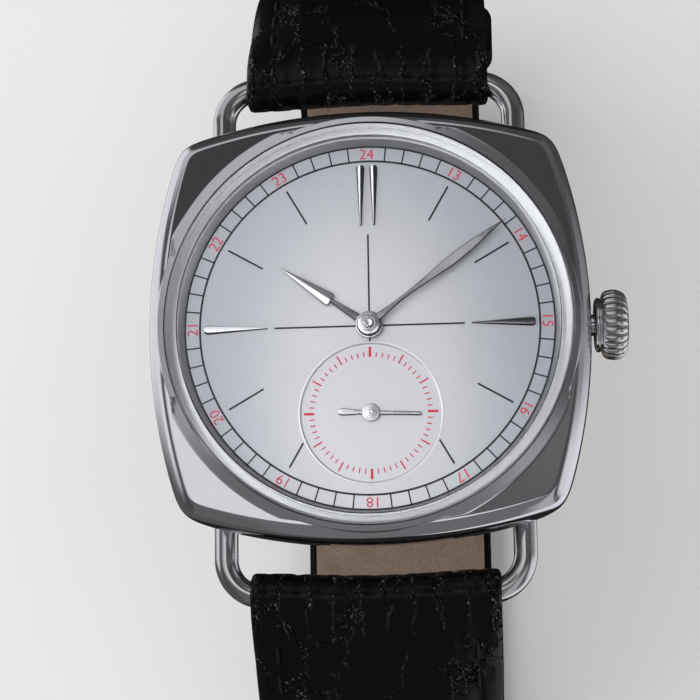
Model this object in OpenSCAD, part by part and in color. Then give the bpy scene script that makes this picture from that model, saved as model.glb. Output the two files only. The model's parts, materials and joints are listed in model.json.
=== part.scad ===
// Cushion-cased wristwatch with small seconds, an automatic movement and a
// leather strap. It stands on its two curled strap halves, unbuckled.
// The origin is at the middle of the case back, X points to the crown,
// Y to twelve o'clock and Z out of the dial. Millimetres.

/* [Case] */
// Width of the case across its flats, without the crown
case_width = 39; // [36:0.5:42]
// Radius of each bowed side seen from above
side_bow = 51; // [40:1:80]
// Distance from the middle to the rounded corners
corner_reach = 23.3; // [22.5:0.1:23.6]
// Height of the flat top land above the case back
land_z = 9.3; // [8.8:0.1:10]
// Height of the underside of the case middle
back_z = 1.8; // [1.5:0.1:2.2]

/* [Crystal and dial] */
// Height of the dial's upper face
dial_z = 7; // [6.8:0.1:7.2]
// Radius of the crystal
crystal_r = 17.75; // [17.5:0.05:17.8]
// Height of the crystal's crown
crystal_top = 11.3; // [10.8:0.1:12]
// Distance of the small seconds axis below the middle
seconds_y = 7.75; // [7.5:0.05:8]
// Radius of the sunk small seconds disc
seconds_disc_r = 6.28; // [5.8:0.02:6.6]

/* [Hands] */
// Length of the hour hand
hour_length = 9.5; // [8.5:0.1:10]
// Clockwise angle of the hour hand from twelve
hour_turn = 304.4; // [0:0.1:360]
// Length of the minute hand
minute_length = 15.3; // [13:0.1:15.8]
// Clockwise angle of the minute hand from twelve
minute_turn = 53.1; // [0:0.1:360]
// Clockwise angle of the seconds hand from twelve
seconds_turn = 92.5; // [0:0.1:360]

/* [Crown] */
// Diameter of the crown
crown_d = 6.26; // [5.5:0.02:7]
// Thickness of the crown
crown_t = 3.1; // [2.6:0.1:3.4]
// Number of lobes round the crown
crown_lobes = 24; // [18:1:30]
// Height of the winding stem
stem_z = 4.6; // [4.5:0.05:4.7]

/* [Lugs] */
// Diameter of the lug wire
wire_d = 2.1; // [1.8:0.05:2.3]
// Distance of the lug bar from the middle of the case
lug_y = 23.3; // [22.8:0.1:24]
// Height of the lug wire
lug_z = 3.2; // [3:0.1:4]
// Centre-line radius of the wire's bends
wire_bend = 3.3; // [3:0.1:3.6]

/* [Strap] */
// Width of the strap at the lugs
strap_w = 22; // [20:1:22]
// How much narrower the strap is at the buckle
taper = 2; // [1:1:5]
// Thickness of the padded strap at the lugs
lug_t = 4.1; // [3.6:0.1:4.4]
// Thickness of the strap down the side
mid_t = 2.8; // [2.4:0.1:3.2]
// Thickness of the strap where it lies on the ground
end_t = 2.4; // [2:0.1:2.6]
// Thickness of the lining
lining_t = 0.8; // [0.6:0.1:1]
// Depth of the ground below the case back
ground = 52; // [50:0.5:56]
// Length of the half with the buckle, to the buckle bar
short_length = 73; // [70:0.5:78]

/* [Buckle] */
// Diameter of the buckle bar
buckle_bar_d = 1.6; // [1.4:0.1:1.8]
// Thickness of the two sides of the buckle frame
buckle_side = 1.9; // [1.5:0.1:2.2]
// Number of holes in the strap
hole_count = 7; // [5:1:8]

/* [Hidden] */
$fn = 48;
side_reach = case_width / 2;
plate_low = 4.8;
plate_high = 5.8;
bridge_low = 2.2;
bridge_high = 3;
move_r = 14.85;
ring_r = 17;
third_at = [-6.07, -3.875];
fourth_at = [0, -seconds_y];
escape_at = [3.4, -10.55];
pallet_at = [5, -8.57];
balance_at = [7, -6.1];
barrel_at = [2.5, 6.69];
crown_wheel_at = [9.6, 0.9];
minute_wheel_at = [2, 1.327];
click_at = [-2.909, 9.813];
ratchet_teeth = 44;
crown_wheel_teeth = 36;
wind_module = 2 * norm(barrel_at - crown_wheel_at) / (ratchet_teeth + crown_wheel_teeth);
wire_x = strap_w / 2 + 2.2;
tail_w = strap_w - taper;
taper_end_z = 8 - ground;
buckle_w = tail_w + 2 * buckle_side + 0.6;
tail_gap = 4;
seat_r = crystal_r + 0.15;
to_third = atan2(third_at[1], third_at[0]);
to_fourth = atan2(fourth_at[1] - third_at[1], fourth_at[0] - third_at[0]);
to_escape = atan2(escape_at[1] - fourth_at[1], escape_at[0] - fourth_at[0]);
to_barrel = atan2(barrel_at[1], barrel_at[0]);
to_minute = atan2(minute_wheel_at[1], minute_wheel_at[0]);
to_ratchet = atan2(barrel_at[1] - crown_wheel_at[1], barrel_at[0] - crown_wheel_at[0]);
fold_r = 24;
foot_r = 10;
start_turn = 20;
fold_length = fold_r * (90 - start_turn) * PI / 180;
foot_bend = foot_r * PI / 2;
fold_y = lug_y + fold_r * (1 - sin(start_turn));
fold_z = lug_z - fold_r * cos(start_turn);
keeper_gap = 1.4;
keeper_t = 1;
short_foot_z = -ground + keeper_t + keeper_gap + end_t / 2;
long_foot_z = -ground + end_t / 2;
short_drop = fold_z - foot_r - short_foot_z;
long_drop = fold_z - foot_r - long_foot_z;
buckle_y = strap_y(short_length, short_drop);
bar_front_y = buckle_y - 7.2;
long_length = fold_length + long_drop + foot_bend + fold_y - foot_r + bar_front_y - tail_gap;
steel = [0.78, 0.79, 0.81];
dark_steel = [0.45, 0.46, 0.48];
brass = [0.82, 0.68, 0.38];
nickel = [0.7, 0.7, 0.68];
ruby = [0.75, 0.1, 0.3];
leather = [0.07, 0.065, 0.07];
tan = [0.5, 0.43, 0.38];
rubber = [0.1, 0.1, 0.1];

// The path that both strap halves follow, measured from the lug bar

function strap_turn(s, drop) =
    s < fold_length ? start_turn + s / fold_r * 180 / PI
    : s < fold_length + drop ? 90
    : s < fold_length + drop + foot_bend
        ? 90 + (s - fold_length - drop) / foot_r * 180 / PI
    : 180;

function strap_y(s, drop) =
    s < fold_length ? lug_y + fold_r * (sin(strap_turn(s, drop)) - sin(start_turn))
    : s < fold_length + drop ? fold_y
    : s < fold_length + drop + foot_bend
        ? fold_y - foot_r * (1 - sin(strap_turn(s, drop)))
    : fold_y - foot_r - (s - fold_length - drop - foot_bend);

function strap_z(s, drop) =
    s < fold_length ? lug_z - fold_r * (cos(start_turn) - cos(strap_turn(s, drop)))
    : s < fold_length + drop ? fold_z - (s - fold_length)
    : s < fold_length + drop + foot_bend
        ? fold_z - drop + foot_r * cos(strap_turn(s, drop))
    : fold_z - drop - foot_r;

function strap_thick(s, drop) = lookup(s, [
    [6, lug_t],
    [fold_length, mid_t],
    [fold_length + drop, mid_t],
    [fold_length + drop + foot_bend, end_t]]);

function strap_point(s, drop, off) = [
    strap_y(s, drop) + off * sin(strap_turn(s, drop)),
    strap_z(s, drop) + off * cos(strap_turn(s, drop))];

function strap_steps(from, to) = concat([for (s = [from:2.4:to - 0.3]) s], [to]);

// Width of the strap at a height
function strap_width_at(z) = lookup(z, [[taper_end_z, tail_w], [0, strap_w]]);

// The outer leather or the lining between two lengths along the strap
module strap_layer(from, to, drop, outer) {
    steps = strap_steps(from, to);
    last = len(steps) - 1;
    upper = [for (s = steps)
        strap_point(s, drop, outer ? strap_thick(s, drop) / 2 : lining_t - strap_thick(s, drop) / 2)];
    lower = [for (i = [last:-1:0])
        strap_point(steps[i], drop,
            outer ? lining_t - strap_thick(steps[i], drop) / 2 : -strap_thick(steps[i], drop) / 2)];
    intersection() {
        rotate([90, 0, 90])
            linear_extrude(strap_w + 4, center = true)
                polygon(concat(upper, lower));
        strap_width();
    }
}

// The taper of the strap seen from the front
module strap_width() {
    rotate([90, 0, 0])
        linear_extrude(120, center = true)
            polygon([[-strap_w / 2, 8], [-strap_w / 2, 0], [-tail_w / 2, taper_end_z], [-tail_w / 2, -70],
                [tail_w / 2, -70], [tail_w / 2, taper_end_z], [strap_w / 2, 0], [strap_w / 2, 8]]);
}

// The space that the lug wire takes through the strap's end loop
module lug_bore() {
    flat = wire_x - wire_bend - 0.3;
    translate([0, lug_y, lug_z]) rotate([0, 90, 0])
        cylinder(h = 2 * flat, r = wire_d / 2 + 0.07, center = true);
    for (side = [0, 180])
        translate([0, lug_y, lug_z]) rotate([0, 90, side]) translate([0, 0, flat])
            cylinder(h = 2, r1 = wire_d / 2 + 0.07, r2 = wire_d / 2 + 0.5);
}

// The leather turned round the lug bar
module lug_loop() {
    difference() {
        translate([0, lug_y, lug_z]) rotate([0, 90, 0])
            cylinder(h = strap_w, r = lug_t / 2, center = true);
        lug_bore();
    }
}

// The holes along the long half
module strap_holes() {
    for (i = [0:hole_count - 1]) {
        s = long_length - 16 - 6 * i;
        translate([0, strap_y(s, long_drop), strap_z(s, long_drop)])
            rotate([-strap_turn(s, long_drop), 0, 0])
                cylinder(h = 6, r = 0.9, center = true, $fn = 24);
    }
}

// What the round end of the long half leaves away
module tail_corners() {
    tip = strap_y(long_length, long_drop) + tail_w / 2;
    difference() {
        translate([-15, tip - tail_w, -ground - 5]) cube([30, tail_w, 10]);
        translate([0, tip, -ground - 6]) cylinder(h = 12, r = tail_w / 2);
    }
}

module strap_12() {
    color(leather) difference() {
        union() {
            lug_loop();
            difference() {
                strap_layer(0.6, short_length, short_drop, true);
                translate([0, lug_y, lug_z]) rotate([0, 90, 0])
                    cylinder(h = 30, r = lug_t / 2 - 0.2, center = true);
            }
            translate([0, buckle_y, short_foot_z]) rotate([0, 90, 0])
                cylinder(h = tail_w, r = end_t / 2, center = true);
        }
        translate([0, buckle_y, short_foot_z]) rotate([0, 90, 0])
            cylinder(h = 30, r = buckle_bar_d / 2, center = true);
        tongue_slot();
    }
}

// The slot in the strap's end for the tongue
module tongue_slot() {
    translate([-1.8, buckle_y - 3, short_foot_z - 3]) cube([3.6, 7, 6]);
}

module strap_12_lining() {
    color(tan) difference() {
        strap_layer(3, short_length - 1.4, short_drop, false);
        tongue_slot();
    }
}

module strap_6() {
    mirror([0, 1, 0]) color(leather) difference() {
        union() {
            lug_loop();
            difference() {
                strap_layer(0.6, long_length, long_drop, true);
                translate([0, lug_y, lug_z]) rotate([0, 90, 0])
                    cylinder(h = 30, r = lug_t / 2 - 0.2, center = true);
            }
        }
        strap_holes();
        tail_corners();
    }
}

module strap_6_lining() {
    mirror([0, 1, 0]) color(tan) difference() {
        strap_layer(3, long_length, long_drop, false);
        strap_holes();
        tail_corners();
    }
}

module fixed_keeper() {
    inner = short_foot_z + end_t / 2 + 0.05;
    color(leather) translate([0, buckle_y + 4, 0]) difference() {
        translate([-tail_w / 2 - 1.1, 0, -ground]) cube([tail_w + 2.2, 4.4, inner + ground + 0.8]);
        translate([-tail_w / 2 - 0.1, -1, -ground + keeper_t])
            cube([tail_w + 0.2, 7, inner + ground - keeper_t]);
    }
}

module free_keeper() {
    gap_in = mid_t / 2 + 0.1;
    gap_out = mid_t / 2 + keeper_gap;
    inside_w = strap_width_at(fold_z - 10.8) + 0.65;
    outside_w = inside_w + 2.1;
    color(leather) translate([0, fold_y, fold_z - 13]) difference() {
        translate([-outside_w / 2, -gap_in - keeper_t, -2.2])
            cube([outside_w, gap_in + gap_out + 2 * keeper_t, 4.4]);
        translate([-inside_w / 2, -gap_in, -3]) cube([inside_w, gap_in + gap_out, 6]);
    }
}

// Buckle

module buckle_bar() {
    color(steel) translate([0, buckle_y, short_foot_z]) rotate([0, 90, 0])
        cylinder(h = buckle_w - 1.6, r = buckle_bar_d / 2, center = true);
}

module buckle_frame() {
    front_z = -ground + 1.8;
    color(steel) difference() {
        union() {
            translate([0, bar_front_y, front_z]) rotate([0, 90, 0])
                cylinder(h = buckle_w, r = 0.95, center = true);
            for (x = [-buckle_w / 2, buckle_w / 2 - buckle_side])
                translate([x, 0, 0]) rotate([90, 0, 90])
                    linear_extrude(buckle_side)
                        polygon([[bar_front_y, front_z - 0.95], [bar_front_y, front_z + 0.95],
                            [buckle_y - 2.5, short_foot_z + 1.35], [buckle_y + 0.8, short_foot_z + 1.25],
                            [buckle_y + 1.6, short_foot_z + 0.5], [buckle_y + 1.6, short_foot_z - 0.5],
                            [buckle_y + 0.8, short_foot_z - 1.25], [buckle_y - 2, short_foot_z - 1.3]]);
        }
        translate([0, buckle_y, short_foot_z]) rotate([0, 90, 0])
            cylinder(h = buckle_w - 1.5, r = buckle_bar_d / 2 + 0.05, center = true);
    }
}

module buckle_tongue() {
    color(steel) difference() {
        union() {
            translate([0, buckle_y, short_foot_z]) rotate([0, 90, 0])
                cylinder(h = 2.6, r = 1.35, center = true);
            translate([-0.95, 0, 0]) rotate([90, 0, 90])
                linear_extrude(1.9)
                    polygon([[buckle_y - 0.3, short_foot_z - 0.9], [buckle_y - 0.3, short_foot_z - 1.32],
                        [bar_front_y + 1.8, -ground], [bar_front_y - 1.1, -ground],
                        [bar_front_y - 1.3, -ground + 0.5], [bar_front_y - 1, -ground + 0.8],
                        [bar_front_y + 1.4, -ground + 0.8], [buckle_y - 1.1, short_foot_z - 0.6]]);
        }
        translate([0, buckle_y, short_foot_z]) rotate([0, 90, 0])
            cylinder(h = 30, r = buckle_bar_d / 2 + 0.05, center = true);
    }
}

// Case

flank = [[1.75, back_z], [0.85, 2.5], [0.3, 3.55], [0, 5], [0, 5.6], [0.25, 7],
    [0.65, 8.2], [1.1, land_z]];
back_flank = [[2.9, 0], [2.3, 0.25], [1.95, 0.9], [1.85, back_z]];

// A body bounded by four bowed sides and four rounded corners
module cushion(profile) {
    low = profile[0][1];
    high = profile[len(profile) - 1][1];
    intersection() {
        side_body(profile, low, high);
        rotate(90) side_body(profile, low, high);
        rotate(180) side_body(profile, low, high);
        rotate(270) side_body(profile, low, high);
        rotate_extrude($fn = 96)
            polygon(concat([[0, low]], [for (p = profile) [corner_reach - p[0], p[1]]], [[0, high]]));
    }
}

module side_body(profile, low, high) {
    translate([side_reach - side_bow, 0, 0]) rotate_extrude($fn = 180)
        polygon(concat([[0, low]], [for (p = profile) [side_bow - p[0], p[1]]], [[0, high]]));
}

module case_middle() {
    color(steel) difference() {
        cushion(flank);
        rotate_extrude($fn = 96)
            polygon([[0, 0], [ring_r, 0], [ring_r, dial_z], [16.4, dial_z], [16.9, 7.9], [seat_r, 7.9],
                [seat_r, 8.5], [seat_r + 0.2, 8.5], [seat_r + 0.2, 12], [0, 12]]);
        lug_holes();
        rotate(180) lug_holes();
        along_x(14, 0.95, side_reach - 11.5);
        screw_places() translate([0, 0, 1]) cylinder(h = 2.9, r = 0.5);
    }
}

module lug_holes() {
    for (x = [-wire_x, wire_x])
        translate([x, 16, lug_z]) rotate([-90, 0, 0]) cylinder(h = 5, r = wire_d / 2);
}

module screw_places() {
    for (a = [45:90:315])
        rotate(a) translate([19.2, 0, 0]) children();
}

// One lug wire: a bar with two legs
module lug_wire() {
    leg_end = lug_y - wire_bend;
    translate([0, lug_y, lug_z]) rotate([0, 90, 0])
        cylinder(h = 2 * (wire_x - wire_bend), r = wire_d / 2, center = true);
    for (side = [0, 1])
        mirror([side, 0, 0]) {
            translate([wire_x - wire_bend, leg_end, lug_z])
                rotate_extrude(angle = 90) translate([wire_bend, 0]) circle(r = wire_d / 2);
            translate([wire_x, 16, lug_z]) rotate([-90, 0, 0]) cylinder(h = leg_end - 16, r = wire_d / 2);
        }
}

module lug_wire_12() {
    color(steel) lug_wire();
}

module lug_wire_6() {
    color(steel) rotate(180) lug_wire();
}

module bezel() {
    color(steel) rotate_extrude($fn = 96)
        polygon([[seat_r, 8.5], [seat_r + 0.2, 8.5], [seat_r + 0.2, land_z], [seat_r + 0.48, land_z],
            [seat_r + 0.48, land_z + 0.1], [seat_r + 0.3, land_z + 0.28], [seat_r + 0.1, land_z + 0.3],
            [seat_r, land_z + 0.2]]);
}

module crystal_gasket() {
    color(rubber) rotate_extrude($fn = 96)
        polygon([[crystal_r, 8], [seat_r, 8], [seat_r, land_z], [crystal_r, land_z]]);
}

function dome(r, top, drop, count) =
    [for (i = [0:count]) [r * (1 - i / count), top - drop * pow(1 - i / count, 2)]];

module crystal() {
    outer = concat([[crystal_r, 7.9], [crystal_r, 9.85], [17.66, 10.05], [17.45, 10.2]],
        dome(17.3, crystal_top, 1.05, 9));
    inner = dome(16.5, 10.2, 0.8, 8);
    color([0.85, 0.9, 0.92, 0.35]) rotate_extrude($fn = 96)
        polygon(concat(outer, [for (i = [8:-1:0]) inner[i]], [[16.9, 9], [16.9, 7.9]]));
}

module case_back() {
    color(steel) difference() {
        union() {
            cushion(back_flank);
            cylinder(h = 2.4, r = ring_r, $fn = 96);
        }
        translate([0, 0, -1]) cylinder(h = 5, r = 13.6, $fn = 96);
        translate([0, 0, 0.9]) cylinder(h = 5, r = move_r + 0.15, $fn = 96);
        translate([0, 0, back_z]) rotate_extrude($fn = 96) translate([ring_r - 0.4, 0]) square([1, 0.4]);
        screw_places() {
            translate([0, 0, -1]) cylinder(h = 4, r = 0.5);
            translate([0, 0, -1]) cylinder(h = 1.6, r = 0.95);
        }
    }
}

module case_back_glass() {
    color([0.85, 0.9, 0.92, 0.35]) cylinder(h = 0.9, r = 13.6, $fn = 96);
}

module case_back_gasket() {
    color(rubber) translate([0, 0, back_z]) rotate_extrude($fn = 96)
        translate([ring_r - 0.4, 0]) square([0.4, 0.4]);
}

module case_screws() {
    color(steel) screw_places() {
        translate([0, 0, 0.15]) difference() {
            cylinder(h = 0.45, r = 0.95);
            translate([-2, -0.12, -0.5]) cube([4, 0.24, 0.7]);
        }
        translate([0, 0, 0.6]) cylinder(h = 3.2, r = 0.5);
    }
}

module movement_ring() {
    color(nickel) difference() {
        translate([0, 0, 2.5]) cylinder(h = 4.1, r = ring_r, $fn = 96);
        cylinder(h = 9, r = move_r, $fn = 96);
        translate([12, 0, stem_z]) rotate([0, 90, 0]) cylinder(h = 8, r = 0.95);
    }
}

// Dial side

module dial() {
    color([0.75, 0.76, 0.78]) difference() {
        union() {
            translate([0, 0, dial_z - 0.4]) cylinder(h = 0.4, r = 16.9, $fn = 96);
            for (a = [60, 200])
                rotate(a) translate([14.2, 0, 6]) cylinder(h = 0.7, r = 0.35);
        }
        cylinder(h = 9, r = 0.95);
        translate([0, -seconds_y, 0]) cylinder(h = 9, r = 0.3);
        translate([0, -seconds_y, dial_z - 0.15])
            cylinder(h = 0.16, r1 = seconds_disc_r - 0.16, r2 = seconds_disc_r, $fn = 96);
    }
}

// A long shape with a ridge along Y, cut to an outline
module ridged(outline, half_w, low, high, length) {
    intersection() {
        linear_extrude(high) polygon(outline);
        rotate([90, 0, 0]) translate([0, 0, -length])
            linear_extrude(2 * length)
                polygon([[-half_w, 0], [half_w, 0], [half_w, low], [0, high], [-half_w, low]]);
    }
}

module hour_markers() {
    twin = [[-0.15, 9.1], [0.15, 9.1], [0.36, 14.4], [0.2, 14.6], [-0.2, 14.6], [-0.36, 14.4]];
    single = [[-0.03, 9], [0.03, 9], [0.41, 14.3], [0.25, 14.6], [-0.25, 14.6], [-0.41, 14.3]];
    color(steel) translate([0, 0, dial_z]) {
        for (x = [-0.59, 0.59])
            translate([x, 0, 0]) ridged(twin, 0.45, 0.12, 0.35, 15);
        for (turn = [90, -90])
            rotate(turn) ridged(single, 0.5, 0.12, 0.35, 15);
    }
}

// A hand: an outline with a round boss, bored for its pipe
module hand(outline, half_w, high, boss_r, bore_r, length) {
    difference() {
        union() {
            ridged(outline, half_w, high * 0.4, high, length + 1);
            cylinder(h = high + 0.05, r = boss_r);
        }
        translate([0, 0, -1]) cylinder(h = 3, r = bore_r);
    }
}

// Mirrors the right side of an outline
function both_sides(right) = concat(right, [for (i = [len(right) - 1:-1:0]) [-right[i][0], right[i][1]]]);

module hour_hand() {
    right = [[0.3, 0], [0.3, 1.1], [0.135, 4.3], [0.38, 4.26], [0.5, 4.4], [0.515, 4.65],
        [0.02, hour_length]];
    color(steel) translate([0, 0, 7.4]) rotate(-hour_turn)
        hand(both_sides(right), 0.55, 0.22, 1.2, 0.85, hour_length);
}

module minute_hand() {
    right = [[0.35, 0], [0.35, 0.9], [0.15, 2.7], [0.22, 5.4], [0.33, 7.9], [0.375, 9.6],
        [0.3, 11.8], [0.17, 13.6], [0.02, minute_length]];
    color(steel) translate([0, 0, 7.82]) rotate(-minute_turn)
        hand(both_sides(right), 0.45, 0.24, 1.03, 0.45, minute_length);
}

module seconds_hand() {
    right = [[0.3, -2.85], [0.32, -2.5], [0.2, -1.3], [0.2, 3], [0.13, 3.9], [0.02, 4.4]];
    color(steel) translate([0, -seconds_y, dial_z]) rotate(-seconds_turn)
        hand(both_sides(right), 0.4, 0.15, 0.77, 0.15, 5);
}

// Gears

// Outline of a gear with straight-sided teeth
function gear_outline(teeth, module_mm, phase) =
    let (root = module_mm * (teeth / 2 - 1.25), tip = module_mm * (teeth / 2 + 0.9), pitch = 360 / teeth)
    [for (i = [0:teeth - 1])
        for (p = [[root, -0.33], [tip, -0.12], [tip, 0.12], [root, 0.33]])
            let (a = phase + (i + p[1]) * pitch)
            [p[0] * cos(a), p[0] * sin(a)]];

module gear(teeth, module_mm, phase, thick) {
    linear_extrude(thick) polygon(gear_outline(teeth, module_mm, phase));
}

// A gear with five crossings
module spoked_gear(teeth, module_mm, phase, thick, hub_r, rim_r) {
    difference() {
        gear(teeth, module_mm, phase, thick);
        difference() {
            translate([0, 0, -1]) cylinder(h = thick + 2, r = rim_r);
            translate([0, 0, -2]) cylinder(h = thick + 4, r = hub_r);
            for (a = [0:72:288])
                rotate(a) translate([0, -0.3, -2]) cube([rim_r + 1, 0.6, thick + 4]);
        }
    }
}

function gap_phase(angle, teeth) = angle + 180 + 180 / teeth;

// A pivoted arbor between two heights
module arbor(low, high, r, pivot_r, pivot_low, pivot_high) {
    translate([0, 0, low]) cylinder(h = high - low, r = r, $fn = 24);
    translate([0, 0, pivot_low]) cylinder(h = pivot_high - pivot_low, r = pivot_r, $fn = 24);
}

module at(place, z) {
    translate([place[0], place[1], z]) children();
}

module cannon_pinion() {
    color(steel) difference() {
        union() {
            translate([0, 0, 5.85]) gear(12, 0.1, to_minute, 0.3);
            translate([0, 0, 6.1]) cylinder(h = 2.2, r = 0.45);
        }
        cylinder(h = 20, r = 0.25);
    }
}

module hour_wheel() {
    color(brass) difference() {
        union() {
            translate([0, 0, 6.2]) gear(40, 0.096, gap_phase(to_minute + 180, 40), 0.18);
            translate([0, 0, 6.25]) cylinder(h = 1.4, r = 0.85);
        }
        cylinder(h = 20, r = 0.5);
    }
}

module minute_wheel() {
    color(brass) at(minute_wheel_at, 0) difference() {
        union() {
            translate([0, 0, 5.9]) gear(36, 0.1, gap_phase(to_minute, 36), 0.18);
            translate([0, 0, 6.05]) gear(10, 0.096, to_minute + 180, 0.4);
        }
        cylinder(h = 20, r = 0.22, $fn = 24);
    }
}

module centre_wheel() {
    color(brass) {
        translate([0, 0, 4.45]) spoked_gear(80, 0.16, to_third, 0.18, 1, 5.7);
        translate([0, 0, 3.05]) gear(12, 0.17, gap_phase(to_barrel + 180, 12), 0.5);
        arbor(3.05, 4.75, 0.42, 0.2, 2.35, 4.8);
        translate([0, 0, 4.7]) cylinder(h = 3.7, r = 0.25);
    }
}

module third_wheel() {
    color(brass) at(third_at, 0) {
        translate([0, 0, 3.75]) spoked_gear(75, 0.169, to_fourth, 0.18, 1, 5.7);
        translate([0, 0, 4.2]) gear(10, 0.16, gap_phase(to_third, 10), 0.52);
        arbor(3.05, 4.74, 0.3, 0.1, 2.35, 5.3);
    }
}

module fourth_wheel() {
    color(brass) at(fourth_at, 0) {
        translate([0, 0, 3.35]) spoked_gear(80, 0.1, to_escape, 0.15, 0.8, 3.5);
        translate([0, 0, 3.65]) gear(10, 0.169, gap_phase(to_fourth, 10), 0.45);
        arbor(3.05, 4.74, 0.25, 0.1, 2.35, 3.1);
        translate([0, 0, 4.7]) cylinder(h = 2.48, r = 0.15, $fn = 24);
    }
}

module escape_wheel() {
    club = [for (i = [0:14])
        for (p = [[1.65, -0.3], [2.2, 0.1], [2.2, 0.24], [2.02, 0.3], [1.65, 0.05]])
            let (a = (i + p[1]) * 24)
            [p[0] * cos(a), p[0] * sin(a)]];
    color(steel) at(escape_at, 0) {
        translate([0, 0, 3.8]) difference() {
            linear_extrude(0.15) polygon(club);
            difference() {
                translate([0, 0, -1]) cylinder(h = 3, r = 1.35);
                translate([0, 0, -2]) cylinder(h = 5, r = 0.5);
                for (a = [0, 90])
                    rotate(a) translate([-3, -0.12, -2]) cube([6, 0.24, 5]);
            }
        }
        translate([0, 0, 3.25]) gear(8, 0.1, gap_phase(to_escape, 8), 0.4);
        arbor(3.12, 4.74, 0.18, 0.08, 2.35, 5.2);
    }
}

module pallet_fork() {
    away = atan2(balance_at[1] - pallet_at[1], balance_at[0] - pallet_at[0]);
    color(steel) at(pallet_at, 0) rotate(away) {
        translate([0, 0, 3.8]) linear_extrude(0.15)
            polygon([[-0.3, -0.35], [-1.02, -1.75], [-0.8, -1.95], [0.2, -0.45], [1.9, -0.12],
                [2.42, -0.3], [2.42, -0.12], [2.2, 0], [2.42, 0.12], [2.42, 0.3], [1.9, 0.12],
                [0.2, 0.45], [-0.8, 1.95], [-1.02, 1.75], [-0.3, 0.35]]);
        arbor(3.56, 4.74, 0.18, 0.08, 3.28, 5.2);
    }
}

module balance_wheel() {
    color(brass) at(balance_at, 0) {
        translate([0, 0, 2.75]) difference() {
            cylinder(h = 0.4, r = 4.2);
            translate([0, 0, -1]) cylinder(h = 2, r = 3.75);
        }
        for (a = [20, 140, 260])
            rotate(a) translate([0, -0.25, 2.85]) cube([3.85, 0.5, 0.2]);
        translate([0, 0, 3.35]) cylinder(h = 0.15, r = 0.62, $fn = 24);
        rotate(231) translate([0.5, 0, 3.4]) cylinder(h = 0.6, r = 0.07, $fn = 12);
        arbor(2.46, 4.74, 0.16, 0.08, 2.2, 5.2);
    }
}

// Outline of a flat coil of ribbon
function coil(inner_r, outer_r, turns, ribbon, count) =
    let (n = turns * count, rise = (outer_r - inner_r) / n)
    concat(
        [for (i = [0:n]) (inner_r + rise * i) * [cos(i * 360 / count), sin(i * 360 / count)]],
        [for (i = [n:-1:0]) (inner_r + ribbon + rise * i) * [cos(i * 360 / count), sin(i * 360 / count)]]);

module hairspring() {
    color([0.3, 0.35, 0.6]) at(balance_at, 0) {
        translate([0, 0, 2.55]) linear_extrude(0.1) polygon(coil(0.3, 2, 6, 0.06, 20));
        translate([0, 0, 2.53]) difference() {
            cylinder(h = 0.15, r = 0.34, $fn = 24);
            translate([0, 0, -1]) cylinder(h = 2, r = 0.16, $fn = 24);
        }
    }
}

module barrel() {
    color(brass) at(barrel_at, 0) difference() {
        union() {
            translate([0, 0, 3.1]) gear(72, 0.17, to_barrel + 180, 0.35);
            translate([0, 0, 3.1]) cylinder(h = 1.1, r = 5.7, $fn = 72);
        }
        translate([0, 0, 3.35]) cylinder(h = 0.65, r = 5.3, $fn = 72);
        cylinder(h = 20, r = 0.8);
    }
}

module mainspring() {
    color(dark_steel) at(barrel_at, 3.4) linear_extrude(0.5) polygon(coil(0.9, 5, 7, 0.14, 20));
}

module barrel_arbor() {
    color(steel) at(barrel_at, 0) {
        translate([0, 0, 3.06]) cylinder(h = 1.6, r = 0.75);
        translate([0, 0, 2.1]) cylinder(h = 3.2, r = 0.5);
    }
}

module ratchet_wheel() {
    color(steel) at(barrel_at, 2.1) difference() {
        gear(ratchet_teeth, wind_module, gap_phase(to_ratchet, ratchet_teeth), 0.3);
        translate([0, 0, -1]) cylinder(h = 2, r = 0.5);
    }
}

module crown_wheel() {
    color(steel) at(crown_wheel_at, 2.1) difference() {
        union() {
            gear(crown_wheel_teeth, wind_module, to_ratchet, 0.3);
            cylinder(h = 1.2, r = 2.05);
            for (a = [0:15:345])
                rotate(a) translate([1.36, -0.09, 1]) cube([0.62, 0.18, 0.45]);
        }
        translate([0, 0, 0.6]) cylinder(h = 2, r = 1.3);
    }
}

module click() {
    beak = atan2(barrel_at[1] - click_at[1], barrel_at[0] - click_at[0]);
    color(steel) at(click_at, 2.12) rotate(beak) difference() {
        linear_extrude(0.28)
            polygon([[-0.6, -0.5], [0.3, -0.6], [0.72, -0.2], [0.95, 0.75], [0.55, 0.8], [0.1, 0.6], [-0.6, 0.4]]);
        translate([0, 0, -1]) cylinder(h = 2, r = 0.2, $fn = 24);
    }
}

// Plates and bridges

module disc_hole(place, r, low, high) {
    at(place, low) cylinder(h = high - low, r = r, $fn = 48);
}

pivots = [third_at, fourth_at, escape_at];

module main_plate() {
    color(nickel) difference() {
        union() {
            translate([0, 0, plate_low]) cylinder(h = plate_high - plate_low, r = move_r, $fn = 96);
            difference() {
                translate([0, 0, plate_high]) cylinder(h = 0.8, r = move_r, $fn = 96);
                translate([0, 0, plate_high - 1]) cylinder(h = 3, r = 13.6, $fn = 96);
            }
            at(minute_wheel_at, plate_high) cylinder(h = 0.65, r = 0.2, $fn = 24);
        }
        disc_hole([0, 0], 0.35, 0, 9);
        disc_hole(fourth_at, 0.22, 0, 9);
        for (p = [third_at, escape_at, pallet_at, balance_at])
            disc_hole(p, 0.12, 4, 5.35);
        disc_hole(barrel_at, 0.55, 4, 5.35);
        for (a = [60, 200])
            rotate(a) translate([14.2, 0, 5.9]) cylinder(h = 1, r = 0.36);
        translate([9.8, 0, stem_z]) rotate([0, 90, 0]) cylinder(h = 8, r = 0.52);
        translate([10.3, 0, stem_z]) rotate([0, 90, 0]) cylinder(h = 1.6, r = 1.08);
        bridge_screw_holes();
    }
}

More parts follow.
